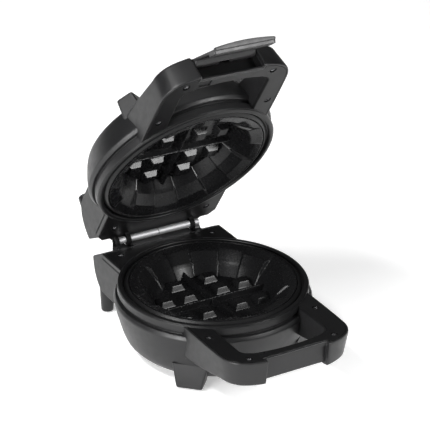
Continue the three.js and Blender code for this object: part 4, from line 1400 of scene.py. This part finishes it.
@dataclass
class Studio:
    """Pale floor, soft lights and the camera at the photograph's angle."""

    azimuth: float = -30.54
    elevation: float = 26.01
    roll: float = 0.70
    lens: float = 150.1
    eye: tuple[float, float, float] = (-0.83987, -1.42874, 0.95812)
    middle: tuple[float, float, float] = (0.0, 0.0, 0.15)
    floor_tones: tuple[float, float] = (0.88, 0.91)
    floor_lift: float = 0.42
    room_light: float = 0.05

    def posed(self, name: str, data: bpy.types.ID, axes: Sequence[Sequence[float]]) -> bpy.types.Object:
        """Puts an object into the scene in a given position.

        Args:
            name: Name of the object.
            data: Its lamp or camera data.
            axes: Its three axes and its place.

        Returns:
            The object.
        """
        thing = linked(name, data)
        matrix = np.eye(4)
        matrix[:3] = np.column_stack(axes)
        thing.matrix_world = Matrix(matrix.tolist())
        return thing

    def camera(self) -> None:
        """Makes the camera: its back vector comes from azimuth and elevation, then it rolls."""
        a, e, r = (math.radians(value) for value in (self.azimuth, self.elevation, self.roll))
        back = np.array([math.sin(a) * math.cos(e), -math.cos(a) * math.cos(e), math.sin(e)])
        right = np.array([math.cos(a), math.sin(a), 0.0])
        up = np.cross(back, right)
        right, up = math.cos(r) * right + math.sin(r) * up, math.cos(r) * up - math.sin(r) * right
        data = bpy.data.cameras.new("camera")
        data.lens, data.sensor_width, data.sensor_fit = self.lens, 36.0, "HORIZONTAL"
        data.clip_start, data.clip_end = 0.05, 50.0
        bpy.context.scene.camera = self.posed("camera", data, (right, up, back, self.eye))

    def softbox(self, name: str, place: Sequence[float], size: Sequence[float], power: float) -> None:
        """Adds a soft rectangular lamp that looks at the middle of the object.

        Args:
            name: Name of the lamp.
            place: Where it hangs, in metres.
            size: Its width and height.
            power: Its power in watts.
        """
        data = bpy.data.lights.new(name, "AREA")
        data.shape, data.size, data.size_y, data.energy = "RECTANGLE", *size, power
        away = np.array(place, dtype=float) - np.array(self.middle)
        away /= np.linalg.norm(away)
        across = np.cross([0, 0, 1], away)
        across /= np.linalg.norm(across)
        self.posed(name, data, (across, np.cross(away, across), away, place))

    def shown_ray(self, tree: bpy.types.NodeTree) -> bpy.types.NodeSocket:
        """Returns 1 on camera, glossy and transmission rays, as the largest of the three."""
        rays = added(tree, "LightPath").outputs
        pair = {0: rays["Is Camera Ray"], 1: rays["Is Glossy Ray"]}
        seen = added(tree, "Math", pair, operation="MAXIMUM")
        pair = {0: seen.outputs["Value"], 1: rays["Is Transmission Ray"]}
        return added(tree, "Math", pair, operation="MAXIMUM").outputs["Value"]

    def floor(self) -> None:
        """Makes the pale floor: a neutral tone that keeps shadows, lifted towards white for the eye.

        Its own glow is the shown ray's 0 or 1 times the lift.
        """
        line = np.linspace(-6, 6, 25)
        x, y = np.meshgrid(line, line, indexing="ij")
        skin = Skin().sheet(np.stack([x, y, 0 * x], axis=-1))
        mesh = bpy.data.meshes.new("floor")
        mesh.from_pydata(skin.points[0].tolist(), [], skin.faces[0].tolist())
        floor = linked("floor", mesh)
        material = bpy.data.materials.new("pale_floor")
        material.use_nodes = True
        tree = material.node_tree
        place = added(tree, "TexCoord").outputs["Object"]
        grain = added(tree, "TexNoise", {"Vector": place, "Scale": 3.0}).outputs["Fac"]
        low, high = ((value, value, value, 1.0) for value in self.floor_tones)
        tone = added(tree, "Mix", {0: grain, MIX_FIRST: low, MIX_SECOND: high}, data_type="RGBA")
        lift = added(tree, "Math", {0: self.shown_ray(tree), 1: self.floor_lift}, operation="MULTIPLY")
        filled(tree.nodes["Principled BSDF"], {
            "Base Color": tone.outputs[MIX_RESULT], "Roughness": 0.9, "Specular IOR Level": 0.0,
            "Emission Color": WHITE, "Emission Strength": lift.outputs["Value"],
        })
        mesh.materials.append(material)

    def world(self) -> None:
        """Fills the room above the floor with a little plain light."""
        world = bpy.data.worlds.new("room")
        bpy.context.scene.world = world
        world.use_nodes = True
        filled(world.node_tree.nodes["Background"], {"Color": WHITE, "Strength": self.room_light})

    def build(self) -> None:
        """Sets up the camera, the floor, the world and the lamps."""
        self.camera()
        self.floor()
        self.world()
        self.softbox("key_left", (-2.2, -1.0, 0.7), (1.3, 0.9), 62.0)
        self.softbox("upper_left", (-1.3, -0.1, 1.95), (1.0, 0.3), 32.0)
        self.softbox("front_right", (1.15, -1.9, 1.3), (0.5, 0.42), 34.0)
        self.softbox("top", (0.0, 0.6, 4.5), (6.0, 6.0), 50.0)
        bpy.context.scene.view_settings.view_transform = "Standard"


def main() -> None:
    """Builds the studio and then every sub-assembly in order."""
    logging.basicConfig(level=logging.INFO, format="%(name)s: %(message)s")
    Studio().build()
    Half(
        Body.BASE, 78.0, 14.0, 19.0, pocket=(-35.9, -153.4, -29.6, -150.1), knuckles=((-52.4, -48.4),)
    ).build()
    Half(
        Body.LID, 61.5, 9.5, 12.5, pocket=(-35.0, -159.0, -22.0, -150.6),
        knuckles=((-39.1, -34.2), (40.7, 45.4)),
    ).build()
    Latch().build()
    Hinge().build()


if __name__ == "__main__":
    main()
